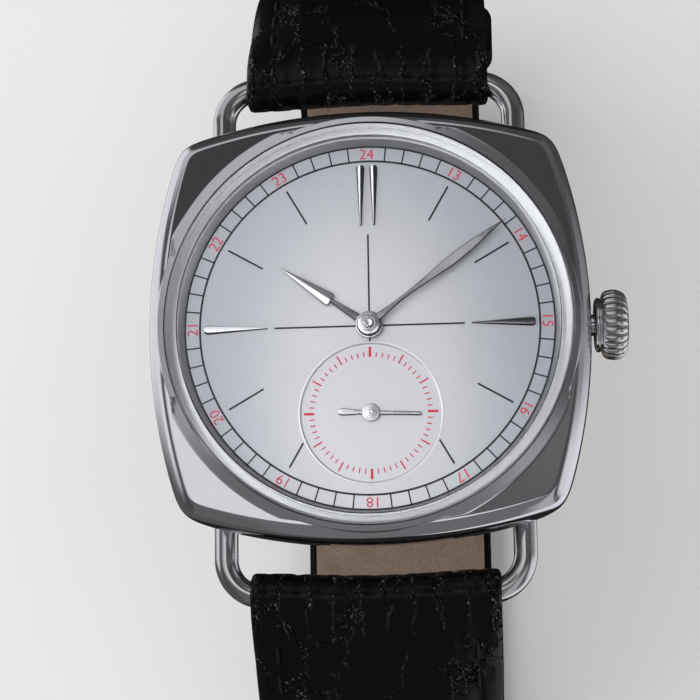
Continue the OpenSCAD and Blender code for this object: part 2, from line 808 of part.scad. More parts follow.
// The round plate with a rim that the bridges are cut from
module bridge_plate() {
    rotate_extrude($fn = 96)
        polygon([[0, bridge_low], [move_r, bridge_low], [move_r, plate_low], [13.95, plate_low],
            [13.95, bridge_high], [0, bridge_high]]);
}

module bridge_screw_holes() {
    for (s = bridge_posts)
        rotate(s) translate([14.4, 0, 0]) cylinder(h = 5.2, r = 0.25, $fn = 24);
}

bridge_posts = [25, 100, 160, 195, 255, 318];

module train_bridge() {
    color(nickel) difference() {
        bridge_plate();
        translate([4.8, -20, 0]) cube([30, 40, 9]);
        translate([-20, 1.3, 0]) cube([40, 30, 9]);
        translate([2.6, -8, 0]) cube([9, 20, 9]);
        disc_hole(balance_at, 4.6, 0, 9);
        for (p = pivots)
            pivot_place(p, 0.12);
        pivot_place([0, 0], 0.22);
        bridge_screw_holes();
        for (s = bridge_posts)
            screw_seat(s);
    }
}

// The seat of a jewel with a clear hole behind it
module pivot_place(p, r) {
    disc_hole(p, 0.55, 1, 2.75);
    disc_hole(p, r, 1, 4);
}

module screw_seat(turn) {
    rotate(turn) translate([14.4, 0, 2]) cylinder(h = 0.45, r = 0.42, $fn = 24);
}

module barrel_bridge() {
    color(nickel) {
        difference() {
            bridge_plate();
            translate([-20, -30, 0]) cube([24.4, 31.6, 9]);
            translate([-20, -34, 0]) cube([40, 30.6, 9]);
            disc_hole(balance_at, 4.6, 0, 9);
            disc_hole(barrel_at, 0.55, 0, 9);
            disc_hole(barrel_at, 5.45, 2, 2.45);
            disc_hole(crown_wheel_at, 4.5, 2, 2.45);
            disc_hole(crown_wheel_at, 2.1, 2, 9);
            disc_hole(click_at, 1.5, 2, 2.45);
            bridge_screw_holes();
            for (s = bridge_posts)
                screw_seat(s);
            disc_hole([0, 0], 2.6, 0, 9);
            along_x(10, 0.52, 8);
        }
        at(click_at, 2.1) cylinder(h = 0.5, r = 0.18, $fn = 24);
    }
}

module balance_cock() {
    outward = atan2(balance_at[1], balance_at[0]);
    color(nickel) difference() {
        intersection() {
            union() {
                disc_hole(balance_at, 1.3, 2.1, 2.4);
                rotate(outward) rotate([90, 0, 0]) translate([0, 0, -1.2]) linear_extrude(2.4)
                    polygon([[9.28, 2.1], [20, 2.1], [20, plate_low], [13.75, plate_low],
                        [13.75, 2.4], [9.28, 2.4]]);
            }
            cylinder(h = 9, r = move_r, $fn = 96);
        }
        disc_hole(balance_at, 0.45, 1, 4);
        bridge_screw_holes();
    }
}

module pallet_bridge() {
    outward = atan2(pallet_at[1], pallet_at[0]);
    color(nickel) difference() {
        intersection() {
            union() {
                disc_hole(pallet_at, 0.6, 3.22, 3.52);
                rotate(outward) rotate([90, 0, 0]) translate([0, 0, -0.5]) linear_extrude(1)
                    polygon([[9.92, 3.22], [20, 3.22], [20, plate_low], [13.65, plate_low],
                        [13.65, 3.52], [9.92, 3.52]]);
            }
            cylinder(h = 9, r = move_r, $fn = 96);
        }
        disc_hole(pallet_at, 0.1, 3, 4);
    }
}

module jewel(r, bore_r, low, high) {
    difference() {
        translate([0, 0, low]) cylinder(h = high - low, r = r, $fn = 24);
        translate([0, 0, low - 1]) cylinder(h = high - low + 2, r = bore_r, $fn = 24);
    }
}

module jewels() {
    color(ruby) {
        for (p = pivots)
            at(p, 0) jewel(0.55, 0.12, 2.3, 2.75);
        jewel(0.55, 0.22, 2.3, 2.75);
        at(balance_at, 0) jewel(0.45, 0.1, 2.1, 2.4);
    }
}

module bridge_screws() {
    color(steel) for (s = bridge_posts)
        rotate(s) translate([14.4, 0, 0]) {
            translate([0, 0, s == 318 ? 2.4 : 2.2]) cylinder(h = 2.8, r = 0.25, $fn = 24);
            if (s != 318)
                translate([0, 0, 2.15]) difference() {
                    cylinder(h = 0.3, r = 0.42, $fn = 24);
                    translate([-1, -0.06, -1]) cube([2, 0.12, 1.12]);
                }
        }
}

module rotor_bearing() {
    color(steel) {
        translate([0, 0, 1.45]) cylinder(h = 0.2, r = 1.5);
        translate([0, 0, 1.45]) cylinder(h = 0.75, r = 1.1);
    }
}

module rotor() {
    color(dark_steel) difference() {
        union() {
            translate([0, 0, 1.7]) cylinder(h = 0.3, r = 2.2);
            intersection() {
                union() {
                    translate([0, 0, 1.7]) cylinder(h = 0.3, r = 14.1, $fn = 96);
                    difference() {
                        translate([0, 0, 1.1]) cylinder(h = 0.9, r = 14.1, $fn = 96);
                        translate([0, 0, 0]) cylinder(h = 5, r = 11, $fn = 96);
                    }
                }
                translate([-20, -20, 0]) cube([20.5, 40, 9]);
            }
        }
        cylinder(h = 9, r = 1.15);
        for (a = [125, 180, 235])
            rotate(a) translate([6.6, 0, 0]) cylinder(h = 9, r = 2.3);
    }
}

// Winding work

module along_x(x, r, length) {
    translate([x, 0, stem_z]) rotate([0, 90, 0]) cylinder(h = length, r = r);
}

module crown_tube() {
    color(steel) difference() {
        along_x(ring_r + 0.05, 0.95, side_reach - ring_r + 2);
        along_x(10, 0.5, 20);
    }
}

module winding_stem() {
    color(steel) along_x(10.1, 0.45, side_reach - 7.3);
}

module winding_pinion() {
    color(steel) difference() {
        translate([10.4, 0, stem_z]) rotate([0, 90, 0]) gear(12, 0.137, 0, 1.4);
        along_x(9, 0.5, 5);
    }
}

module crown() {
    rise = side_reach + 0.3;
    shoulder = crown_t - 2.4;
    color(steel) translate([rise, 0, stem_z]) rotate([0, 90, 0]) difference() {
        intersection() {
            union() {
                cylinder(h = crown_t, r = crown_d / 2 - 0.25);
                for (i = [0:crown_lobes - 1])
                    rotate(i * 360 / crown_lobes) translate([crown_d / 2 - 0.36, 0, 0])
                        cylinder(h = crown_t, r = 0.36, $fn = 20);
            }
            rotate_extrude($fn = 72)
                polygon([[0, 0], [2.4, 0], [2.6, 0.5], [2.9, shoulder + 0.2], [crown_d / 2, shoulder + 0.75],
                    [crown_d / 2, shoulder + 1.2], [2.95, shoulder + 1.75], [2.5, shoulder + 2.12],
                    [1.8, shoulder + 2.3], [0, crown_t]]);
        }
        translate([0, 0, -1]) cylinder(h = 2.9, r = 1.3);
        cylinder(h = 2.5, r = 0.45);
    }
}

module crown_gasket() {
    color(rubber) difference() {
        along_x(side_reach + 1.3, 1.3, 0.5);
        along_x(side_reach, 1, 5);
    }
}

case_middle();
bezel();
crystal();
crystal_gasket();
crown_tube();
lug_wire_12();
lug_wire_6();
case_back();
case_back_glass();
case_back_gasket();
case_screws();
movement_ring();
dial();
hour_markers();
main_plate();
train_bridge();
barrel_bridge();
balance_cock();
pallet_bridge();
jewels();
bridge_screws();
rotor_bearing();
hour_hand();
hour_wheel();
minute_hand();
cannon_pinion();
centre_wheel();
minute_wheel();
third_wheel();
fourth_wheel();
seconds_hand();
escape_wheel();
pallet_fork();
balance_wheel();
hairspring();
barrel();
mainspring();
barrel_arbor();
ratchet_wheel();
crown_wheel();
click();
winding_pinion();
winding_stem();
crown();
crown_gasket();
rotor();
strap_12();
strap_12_lining();
fixed_keeper();
free_keeper();
buckle_bar();
buckle_frame();
buckle_tongue();
strap_6();
strap_6_lining();
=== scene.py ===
import json
import math
import bmesh
import bpy
import numpy as np
from mathutils import Matrix, Vector, noise

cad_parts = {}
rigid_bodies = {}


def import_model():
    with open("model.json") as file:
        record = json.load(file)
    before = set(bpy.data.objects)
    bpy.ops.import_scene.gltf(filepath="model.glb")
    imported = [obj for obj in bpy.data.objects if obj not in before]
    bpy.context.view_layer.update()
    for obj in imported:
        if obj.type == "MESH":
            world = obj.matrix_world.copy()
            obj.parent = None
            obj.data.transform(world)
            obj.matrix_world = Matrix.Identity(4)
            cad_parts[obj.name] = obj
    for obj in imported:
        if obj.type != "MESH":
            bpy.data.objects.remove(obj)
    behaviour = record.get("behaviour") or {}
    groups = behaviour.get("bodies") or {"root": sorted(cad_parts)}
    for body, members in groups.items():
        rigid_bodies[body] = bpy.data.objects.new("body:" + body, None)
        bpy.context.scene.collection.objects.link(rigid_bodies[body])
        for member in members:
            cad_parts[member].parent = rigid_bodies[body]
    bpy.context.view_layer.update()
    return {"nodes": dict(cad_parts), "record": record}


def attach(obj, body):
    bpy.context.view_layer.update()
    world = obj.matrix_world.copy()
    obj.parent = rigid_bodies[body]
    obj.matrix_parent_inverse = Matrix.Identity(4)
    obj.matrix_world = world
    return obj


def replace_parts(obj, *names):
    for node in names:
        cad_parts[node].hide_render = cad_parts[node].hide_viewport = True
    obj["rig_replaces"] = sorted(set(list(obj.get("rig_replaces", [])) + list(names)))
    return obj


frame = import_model()
scene = bpy.context.scene
MM = 0.001
TAU = 2 * math.pi
GRAIN = 0.00001  # metres, the depth of the finest marks on metal and glass
CLOUD = 900  # per metre, the scale of the broad drift in metal
CREASE_PITCH = 2.3  # millimetres between the creases across the turned end of the strap


# Node graphs

class Graph:
    """Short calls for building a node tree."""

    def __init__(self, tree):
        self.tree = tree
        self.link = tree.links.new

    def add(self, kind, inputs=None, **settings):
        node = self.tree.nodes.new(kind)
        for key, value in settings.items():
            setattr(node, key, value)
        for key, value in (inputs or {}).items():
            if isinstance(value, bpy.types.NodeSocket):
                self.link(value, node.inputs[key])
            else:
                node.inputs[key].default_value = value
        return node

    def math(self, operation, *values):
        return self.add("ShaderNodeMath", dict(enumerate(values)), operation=operation).outputs[0]

    def vector_math(self, operation, *values):
        node = self.add("ShaderNodeVectorMath", dict(enumerate(values)), operation=operation)
        return node.outputs["Value" if operation == "LENGTH" else "Vector"]

    def axes(self, vector):
        return self.add("ShaderNodeSeparateXYZ", {0: vector}).outputs

    def ramp(self, value, stops, interpolation="EASE"):
        """Greys along a value: each stop is its place and its grey."""
        node = self.add("ShaderNodeValToRGB", {0: value})
        node.color_ramp.interpolation = interpolation
        elements = node.color_ramp.elements
        while len(elements) < len(stops):
            elements.new(0.5)
        for element, (place, tone) in zip(elements, stops):
            element.position = place
            element.color = (tone, tone, tone, 1)
        return node.outputs[0]

    def coords(self, kind="Object"):
        return self.add("ShaderNodeTexCoord").outputs[kind]

    def scaled(self, vector, scale, turn=(0, 0, 0), shift=(0, 0, 0)):
        return self.add("ShaderNodeMapping",
                        {0: vector, "Scale": scale, "Rotation": turn, "Location": shift}).outputs[0]

    def noise(self, vector, scale, detail=3.0, rough=0.5, output="Fac"):
        return self.add("ShaderNodeTexNoise", {"Vector": vector, "Scale": scale, "Detail": detail,
                                               "Roughness": rough}).outputs[output]

    def cell_edges(self, vector, randomness=1.0):
        """The distance to the nearest edge between cells."""
        return self.add("ShaderNodeTexVoronoi", {"Vector": vector, "Scale": 1.0, "Randomness": randomness},
                        feature="DISTANCE_TO_EDGE").outputs["Distance"]

    def mix(self, factor, low, high):
        """A colour between two, each a socket or (red, green, blue)."""
        low, high = [(*colour, 1) if isinstance(colour, tuple) else colour for colour in (low, high)]
        return self.add("ShaderNodeMix", {0: factor, 6: low, 7: high}, data_type="RGBA").outputs[2]

    def span(self, value, low, high):
        return self.add("ShaderNodeMapRange", {0: value, 3: low, 4: high}).outputs[0]

    def bump(self, height, strength, distance, normal=None):
        inputs = {"Height": height, "Strength": strength, "Distance": distance}
        if normal is not None:
            inputs["Normal"] = normal
        return self.add("ShaderNodeBump", inputs).outputs[0]

    def round_tangent(self):
        return self.add("ShaderNodeTangent", direction_type="RADIAL", axis="Z").outputs[0]

    def background(self, colour, strength):
        return self.add("ShaderNodeBackground", {"Color": colour, "Strength": strength}).outputs[0]

    def choose(self, factor, shader, other):
        """One shader where the factor is 0 and the other where it is 1."""
        return self.add("ShaderNodeMixShader", {0: factor, 1: shader, 2: other}).outputs[0]


def material(name, **values):
    """A new material, its graph and its shader's sockets; values are constants for these."""
    made = bpy.data.materials.new(name)
    made.use_nodes = True
    shader = made.node_tree.nodes["Principled BSDF"]
    for key, value in values.items():
        socket = shader.inputs[key.replace("_", " ")]
        socket.default_value = (*value, 1) if isinstance(value, tuple) else value
    return made, Graph(made.node_tree), shader.inputs


def steel_finish(name, colour, rough, streak=None, spun=0.0):
    """Metal with fine marks: streak is the scale of its brushing along each axis, spun its sheen round Z."""
    made, g, inputs = material(name, Metallic=1.0, Anisotropic=spun)
    place = g.coords()
    cloud = g.noise(place, CLOUD, 4)
    g.link(g.mix(cloud, tuple(c * 0.94 for c in colour), colour), inputs["Base Color"])
    if streak:
        lines = g.noise(g.scaled(place, streak), 1, 4, 0.6)
        g.link(g.span(lines, rough * 0.7, rough * 1.35), inputs["Roughness"])
        g.link(g.bump(lines, 0.25, GRAIN), inputs["Normal"])
    else:
        marks = g.noise(g.scaled(place, (3000, 600, 1500), (0.3, 0.2, 0.5)), 1, 3, 0.6)
        g.link(g.span(g.math("POWER", marks, 2.0), rough * 0.9, rough * 1.4), inputs["Roughness"])
        g.link(g.bump(cloud, 0.02, GRAIN), inputs["Normal"])
    if spun:
        g.link(g.round_tangent(), inputs["Tangent"])
    return made


def two_tone(name, scale, low, high, rough=None, **values):
    """A finish that drifts between two close colours and, if given, between two roughnesses."""
    made, g, inputs = material(name, **values)
    cloud = g.noise(g.coords(), scale)
    g.link(g.mix(cloud, low, high), inputs["Base Color"])
    if rough:
        g.link(g.span(cloud, *rough), inputs["Roughness"])
    return made


def glass_finish(name, **values):
    made, g, inputs = material(name, Transmission_Weight=1.0, **values)
    g.link(g.bump(g.noise(g.coords(), 300, 2), 0.02, GRAIN), inputs["Normal"])
    return made


def crease_mask(g, place):
    """White in creases: a row of short ones across the turned end, and broken cracks in patches elsewhere."""
    parts = g.axes(place)
    wander = g.math("MULTIPLY", g.noise(g.scaled(place, (0.3, 0.35, 1)), 1, 2), 2.6)
    phase = g.math("FRACT", g.math("MULTIPLY", g.math("ADD", parts[0], wander), 1 / CREASE_PITCH))
    column = g.ramp(g.math("ABSOLUTE", g.math("SUBTRACT", phase, 0.5)), [(0.4, 0.0), (0.49, 1.0)])
    turned = g.ramp(g.math("MULTIPLY_ADD", parts[1], 0.05, 0.5), [(0.53, 1.0), (0.69, 0.0)])
    broken = g.ramp(g.noise(g.scaled(place, (0.9, 0.7, 1), (0, 0, 0.3)), 1, 2), [(0.42, 0.1), (0.56, 1.0)])
    bent = g.vector_math("ADD", g.scaled(place, (0.2, 0.16, 1)), g.noise(place, 0.5, output="Color"))
    patches = g.ramp(g.noise(g.scaled(place, (0.14, 0.1, 1)), 1, 2), [(0.46, 0.0), (0.6, 1.0)], "LINEAR")
    crack = g.math("MULTIPLY", g.ramp(g.cell_edges(bent), [(0.0, 1.0), (0.05, 0.0)]), patches)
    return g.math("MAXIMUM", g.math("MULTIPLY", g.math("MULTIPLY", column, turned), broken), crack)


def leather_finish(name, colour, rough, cell, depth, glint=0.0):
    """Grained leather on a mesh whose map gives millimetres across and along. Glint is how deep its creases are; with
    it, light specks are painted into the creases as glints.
    """
    made, g, inputs = material(name, Specular_IOR_Level=0.17 if glint else 0.2)
    place = g.coords("UV")
    pebble = g.ramp(g.cell_edges(g.scaled(place, (cell, cell, 1)), 0.9), [(0.0, 0.0), (0.16, 1.0)])
    fine = g.noise(g.scaled(place, (cell * 3, cell * 3, 1)), 1, 3, 0.6)
    broad = g.noise(g.scaled(place, (0.35, 0.35, 1)), 1, 3, 0.55)
    normal = g.bump(g.math("ADD", pebble, g.math("MULTIPLY", fine, 0.35)), 0.6, depth)
    dark, light = (tuple(c * share for c in colour) for share in (0.55, 1.25))
    shade = g.mix(g.math("MULTIPLY", pebble, broad), dark, light)
    sheen = g.span(g.math("ADD", g.math("MULTIPLY", pebble, -0.3), broad), rough * 1.3, rough * 0.7)
    if glint:
        mask = crease_mask(g, place)
        folds = g.noise(g.scaled(place, (4.5, 1.6, 1), (0, 0, 0.15)), 1, 3, 0.6)
        # Painted glints: light grey specks in the creases stand for highlights
        painted_glints = g.ramp(g.noise(g.scaled(place, (5, 3, 1), (0, 0, 0.4)), 1, 2), [(0.56, 0.0), (0.64, 1.0)])
        normal = g.bump(g.math("MULTIPLY", mask, folds), 1.0, glint, normal)
        sheen = g.mix(mask, sheen, (0.13, 0.13, 0.13))
        shade = g.mix(g.math("MULTIPLY", mask, painted_glints), shade, (0.17, 0.17, 0.18))
    g.link(shade, inputs["Base Color"])
    g.link(normal, inputs["Normal"])
    g.link(sheen, inputs["Roughness"])
    return made


# Meshes, all in millimetres until they are stored

def store(name, verts, faces, body, finish, nodes=(), slot=None, sharp=32, uvs=None, edges=None, which=None):
    """Makes a piece. Where which is 1, a face has the finish of the edges."""
    mesh = bpy.data.meshes.new(name)
    mesh.from_pydata([Vector(v) * MM for v in verts], [], faces)
    mesh.materials.append(finish)
    if uvs is not None:
        layer = mesh.uv_layers.new(name="Map")
        for loop in mesh.loops:
            layer.data[loop.index].uv = uvs[loop.vertex_index]
    shaped = bmesh.new()
    shaped.from_mesh(mesh)
    bmesh.ops.recalc_face_normals(shaped, faces=shaped.faces)
    shaped.to_mesh(mesh)
    shaped.free()
    mesh.polygons.foreach_set("use_smooth", [True] * len(mesh.polygons))
    if edges:
        mesh.materials.append(edges)
        mesh.polygons.foreach_set("material_index", which)
    mesh.set_sharp_from_angle(angle=math.radians(sharp))
    piece = bpy.data.objects.new(name, mesh)
    scene.collection.objects.link(piece)
    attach(piece, body)
    if nodes:
        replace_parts(piece, *nodes)
    return piece


class Soup:
    """Vertices and faces gathered from several simple forms."""

    def __init__(self):
        self.verts = []
        self.faces = []
        self.which = []

    def take(self, verts, faces, matrix=None, which=None):
        start = len(self.verts)
        self.which += which or [0] * len(faces)
        self.verts += [tuple(matrix @ Vector(v)) if matrix else tuple(v) for v in verts]
        self.faces += [[start + i for i in face] for face in faces]

    def slab(self, outline, low, high, matrix):
        n = len(outline)
        verts = [(x, y, low) for x, y in outline] + [(x, y, high) for x, y in outline]
        faces = [list(range(n))[::-1], list(range(n, 2 * n))]
        faces += [[i, (i + 1) % n, n + (i + 1) % n, n + i] for i in range(n)]
        self.take(verts, faces, matrix)

    def ring(self, inner, outer, low, high):
        self.take(*lathe([(inner, low), (outer, low), (outer, high), (inner, high)], 180, True))


def clockwise(degrees):
    return Matrix.Rotation(-math.radians(degrees), 4, "Z")


def grid_faces(rows, columns, closed_rows=False, closed_columns=False):
    faces = []
    for i in range(rows if closed_rows else rows - 1):
        for j in range(columns if closed_columns else columns - 1):
            a, b = i * columns + j, i * columns + (j + 1) % columns
            c, d = (i + 1) % rows * columns + (j + 1) % columns, (i + 1) % rows * columns + j
            faces.append([a, b, c, d])
    return faces


def lathe(profile, count, closed=False):
    """Turns (radius, height) points about Z; a radius of 0 makes a pole."""
    verts, rings = [], []
    for r, z in profile:
        if r == 0:
            rings.append([len(verts)] * count)
            verts.append((0, 0, z))
        else:
            rings.append(list(range(len(verts), len(verts) + count)))
            verts += [(r * math.cos(TAU * i / count), r * math.sin(TAU * i / count), z) for i in range(count)]
    faces = []
    pairs = list(zip(rings, rings[1:])) + ([(rings[-1], rings[0])] if closed else [])
    for low, high in pairs:
        for i in range(count):
            j = (i + 1) % count
            face = [low[i], low[j], high[j], high[i]]
            faces.append(list(dict.fromkeys(face)))
    return verts, faces


def smooth_line(points, steps):
    """A Catmull-Rom curve through the points."""
    points = [np.array(p, float) for p in points]
    padded = [2 * points[0] - points[1], *points, 2 * points[-1] - points[-2]]
    line = []
    for i in range(1, len(padded) - 2):
        a, b, c, d = padded[i - 1:i + 3]
        for k in range(steps):
            t = k / steps
            line.append(0.5 * (2 * b + (c - a) * t + (2 * a - 5 * b + 4 * c - d) * t * t
                               + (3 * b - a - 3 * c + d) * t ** 3))
    return line + [points[-1]]


def tube(path, radius, count):
    """A round bar along a list of points, with one radius or one for each point."""
    path = [Vector(p) for p in path]
    verts, side = [], None
    for i, here in enumerate(path):
        along = (path[min(i + 1, len(path) - 1)] - path[max(i - 1, 0)]).normalized()
        if side is None:
            side = along.orthogonal().normalized()
        side = (side - along * side.dot(along)).normalized()
        up = along.cross(side)
        size = radius[i] if isinstance(radius, list) else radius
        verts += [tuple(here + size * (math.cos(TAU * k / count) * side + math.sin(TAU * k / count) * up))
                  for k in range(count)]
    faces = grid_faces(len(path), count, closed_columns=True)
    faces += [list(range(count))[::-1], list(range(len(verts) - count, len(verts)))]
    return verts, faces


# Camera, fitted to the photograph

TURN, TILT, ROLL = (math.radians(angle) for angle in (3, 12.2, -1))
CAMERA_MM = 210  # from the middle of the dial
SHIFT_RIGHT, SHIFT_UP = -0.0082, -0.0101  # where it looks, beside the middle of the dial
SENSOR, FOCAL_PIXELS, PICTURE_PIXELS = 36, 2379, 700

dial_centre = Vector((0, 0, 7)) * MM
away = Vector((math.tan(TURN), -math.tan(TILT), 1)).normalized()
right = (-away).cross(Vector((0, 1, 0))).normalized()
up = right.cross(-away).normalized()
right, up = right * math.cos(ROLL) + up * math.sin(ROLL), up * math.cos(ROLL) - right * math.sin(ROLL)
forward = (-away + SHIFT_RIGHT * right + SHIFT_UP * up).normalized()
right = forward.cross(up).normalized()
up = right.cross(forward).normalized()
camera = bpy.data.objects.new("camera", bpy.data.cameras.new("camera"))
scene.collection.objects.link(camera)
camera.matrix_world = (Matrix.Translation(dial_centre + away * CAMERA_MM * MM)
                       @ Matrix((right, up, -forward)).transposed().to_4x4())
camera.data.sensor_width = SENSOR
camera.data.lens = SENSOR * FOCAL_PIXELS / PICTURE_PIXELS
camera.data.clip_start = 0.01
scene.camera = camera
scene.view_settings.view_transform = "Standard"

# Finishes

polished = steel_finish("polished_steel", (0.74, 0.75, 0.78), 0.045)
lip_steel = steel_finish("lip_steel", (0.7, 0.705, 0.73), 0.14)
crown_steel = steel_finish("crown_steel", (0.72, 0.72, 0.74), 0.08)
wire_steel = steel_finish("wire_steel", (0.66, 0.665, 0.69), 0.13)
index_metal = steel_finish("index_steel", (0.38, 0.385, 0.4), 0.1)
# Painted shade: near-black steel on the walls of the hands, their hubs and the markers
painted_shade_edge = steel_finish("hand_edge", (0.03, 0.03, 0.036), 0.15)
satin = two_tone("satin_steel", CLOUD, (0.46, 0.47, 0.5), (0.5, 0.51, 0.54), Metallic=1.0, Roughness=0.4)
hand_metal = two_tone("hand_steel", 1500, (0.46, 0.465, 0.49), (0.5, 0.505, 0.53), (0.15, 0.2), Metallic=0.85)
bead_steel = two_tone("bead_steel", 700, (0.66, 0.665, 0.69), (0.7, 0.705, 0.73), Metallic=0.75, Roughness=0.32)
black_print = two_tone("print_black", 4000, (0.016, 0.016, 0.024), (0.03, 0.03, 0.04),
                       Roughness=0.6, Specular_IOR_Level=0.1)
red_print = two_tone("print_red", 4000, (0.46, 0.025, 0.055), (0.54, 0.04, 0.075),
                     Roughness=0.6, Specular_IOR_Level=0.1)
glass = glass_finish("crystal", Roughness=0.0, IOR=1.12, Base_Color=(1, 1, 1))
black_leather = leather_finish("strap_black", (0.003, 0.003, 0.0036), 0.17, 2.6, 0.000006, 0.0011)
tan_leather = leather_finish("strap_tan", (0.3, 0.22, 0.165), 0.62, 5.0, 0.00003)

# The case is polished, apart from the satin rise from its top land to the ring round the crystal
case_steel, g, inputs = material("case_steel", Metallic=1.0)
place = g.coords()
radius = g.vector_math("LENGTH", g.scaled(place, (1, 1, 0)))
satin_zone = g.math("MULTIPLY", g.ramp(g.math("MULTIPLY", radius, 50), [(0.945, 1.0), (0.951, 0.0)]),
                    g.math("GREATER_THAN", g.axes(place)[2], 0.00931))
cloud = g.noise(place, CLOUD, 4)
g.link(g.mix(cloud, (0.68, 0.685, 0.73), (0.72, 0.725, 0.77)), inputs["Base Color"])
g.link(g.mix(satin_zone, g.span(cloud, 0.03, 0.06), (0.19, 0.19, 0.19)), inputs["Roughness"])

# The dial is brushed outwards from its middle; a painted highlight makes it lighter just below there, and painted
# shade darkens it outwards, most towards the left and right
silver, g, inputs = material("dial_silver", Metallic=0.5, Anisotropic=0.4)
place = g.coords()
polar = g.vector_math("NORMALIZE", place)
rays = g.noise(g.scaled(polar, (220, 220, 0)), 1, 5, 0.7)
soft_rays = g.noise(g.scaled(polar, (14, 14, 0)), 1, 3, 0.6)
tone = g.math("ADD", g.math("MULTIPLY", rays, 0.6), g.math("MULTIPLY", soft_rays, 0.4))
bright = g.mix(tone, (0.45, 0.455, 0.49), (0.52, 0.525, 0.56))
# Painted highlight and shade: lightest a little below the middle, darkening outwards
painted_highlight_falloff = g.vector_math("LENGTH", g.scaled(place, (68, 40, 0), shift=(0, 0.22, 0)))
g.link(g.mix(g.ramp(painted_highlight_falloff, [(0.3, 0.0), (1.1, 1.0)]), bright, (0.33, 0.345, 0.38)), inputs["Base Color"])
g.link(g.span(rays, 0.38, 0.5), inputs["Roughness"])
g.link(g.round_tangent(), inputs["Tangent"])
g.link(g.bump(rays, 0.12, GRAIN), inputs["Normal"])

thread, g, inputs = material("thread_black", Base_Color=(0.008, 0.008, 0.009), Roughness=0.6, Specular_IOR_Level=0.2)
g.link(g.bump(g.noise(g.coords(), 9000), 0.6, 0.00006), inputs["Normal"])

# Case: x is towards three o'clock, y towards twelve and z up from the case back

SIDE, BOW, REACH = 19.5, 51.0, 23.3  # half its width, the radius of its bowed sides, the reach of its corners
LAND, DIAL_Z, BACK = 9.3, 7, 1.8  # heights of the top land, the dial and the case back's shoulder
LIP = 18.56  # the least radius above the dial, where the round lip stands
BLEND = 0.03
CRISP, SOFTER = 0.14, 0.22  # how soft the corners are at the top, and what is added lower down
SOFT_FROM, SOFT_OVER = 8.6, 2.5  # the height where the softening begins, and the depth over which it grows
ROUND = 720  # points in each ring


def cushion_ring(inset, z, least=LIP, most=99):
    """The outline of the case at a height, inset from its widest, with its radius held between two."""
    soft = CRISP + SOFTER * min(1.0, max(0.0, (SOFT_FROM - z) / SOFT_OVER))
    angles = np.arange(ROUND) * TAU / ROUND
    reach = [np.full(ROUND, REACH - inset)]
    off = BOW - SIDE
    for k in range(4):
        dot = np.cos(angles - k * TAU / 4)
        reach.append(-off * dot + np.sqrt((off * dot) ** 2 - off ** 2 + (BOW - inset) ** 2))
    reach = np.array(reach)
    r = -soft * np.log(np.exp(-(reach - reach.min(0)) / soft).sum(0)) + reach.min(0)
    if z > DIAL_Z:
        r = least + BLEND * np.logaddexp(0, (r - least) / BLEND)
        r = most - BLEND * np.logaddexp(0, (most - r) / BLEND)
    return [(r[i] * math.cos(a), r[i] * math.sin(a), z) for i, a in enumerate(angles)]


def circle_rings(*profile):
    return [[(r * math.cos(TAU * i / ROUND), r * math.sin(TAU * i / ROUND), z) for i in range(ROUND)]
            for r, z in profile]


def ring_stack(rings):
    return [v for ring in rings for v in ring], grid_faces(len(rings), ROUND, True, True)


flank = smooth_line([(1.75, 1.8), (0.95, 2.5), (0.48, 3.55), (0.14, 5), (0, 6.6), (0, 7.2), (0.1, 7.9), (0.34, 8.45),
                     (0.62, 8.8), (0.92, 9.08), (1.18, 9.24), (1.34, 9.29), (1.42, 9.298)], 5)
slope = [(1.46, LAND, 18.557), (1.56, LAND, 18.554), (1.6, LAND, 18.551, 19.1), (1.64, LAND + 0.001, 18.548, 19.0),
         (1.68, LAND + 0.016, 18.545, 18.9), (1.7, LAND + 0.055, 18.54, 18.75)]
rings = circle_rings((17, BACK)) + [cushion_ring(1.8, BACK)]
rings += [cushion_ring(inset, z) for inset, z in flank]
rings += [cushion_ring(*values) for values in slope]
rings += circle_rings((18.5, LAND + 0.12), (18.02, LAND + 0.24), (17.98, LAND + 0.2), (17.98, 8.48), (17.9, 8.48),
                      (17.9, 7.6), (17.24, 7.6), (17.24, DIAL_Z), (17, DIAL_Z))
store("case_body", *ring_stack(rings), "head", case_steel, ["case_middle"], "polished_steel")

back_edge = smooth_line([(2.9, 0.02), (2.72, 0.06), (2.45, 0.2), (2.1, 0.6), (1.92, 1.2), (1.85, 1.78)], 4)
rings = circle_rings((13.6, 0)) + [cushion_ring(2.98, 0)]
rings += [cushion_ring(inset, z) for inset, z in back_edge]
rings += circle_rings((17, BACK), (17, 2.4), (15, 2.4), (15, 0.9), (13.6, 0.9))
store("case_back_body", *ring_stack(rings), "head", polished, ["case_back"], "polished_steel")

flange = [(16.4, 7.005), (16.88, 7.85), (16.94, 7.88), (17.89, 7.88), (17.89, 7.62), (17.25, 7.62), (17.25, 7.01)]
store("dial_flange", *lathe(flange, 360, True), "head", satin, slot="polished_steel", sharp=50)

lip = [(17.75, 8.5), (17.93, 8.5), (17.93, 9.4), (17.91, 9.45), (17.87, 9.48), (17.81, 9.48), (17.77, 9.45),
       (17.75, 9.4)]
store("crystal_ring", *lathe(lip, 360, True), "head", lip_steel, ["bezel"], "polished_steel", sharp=50)

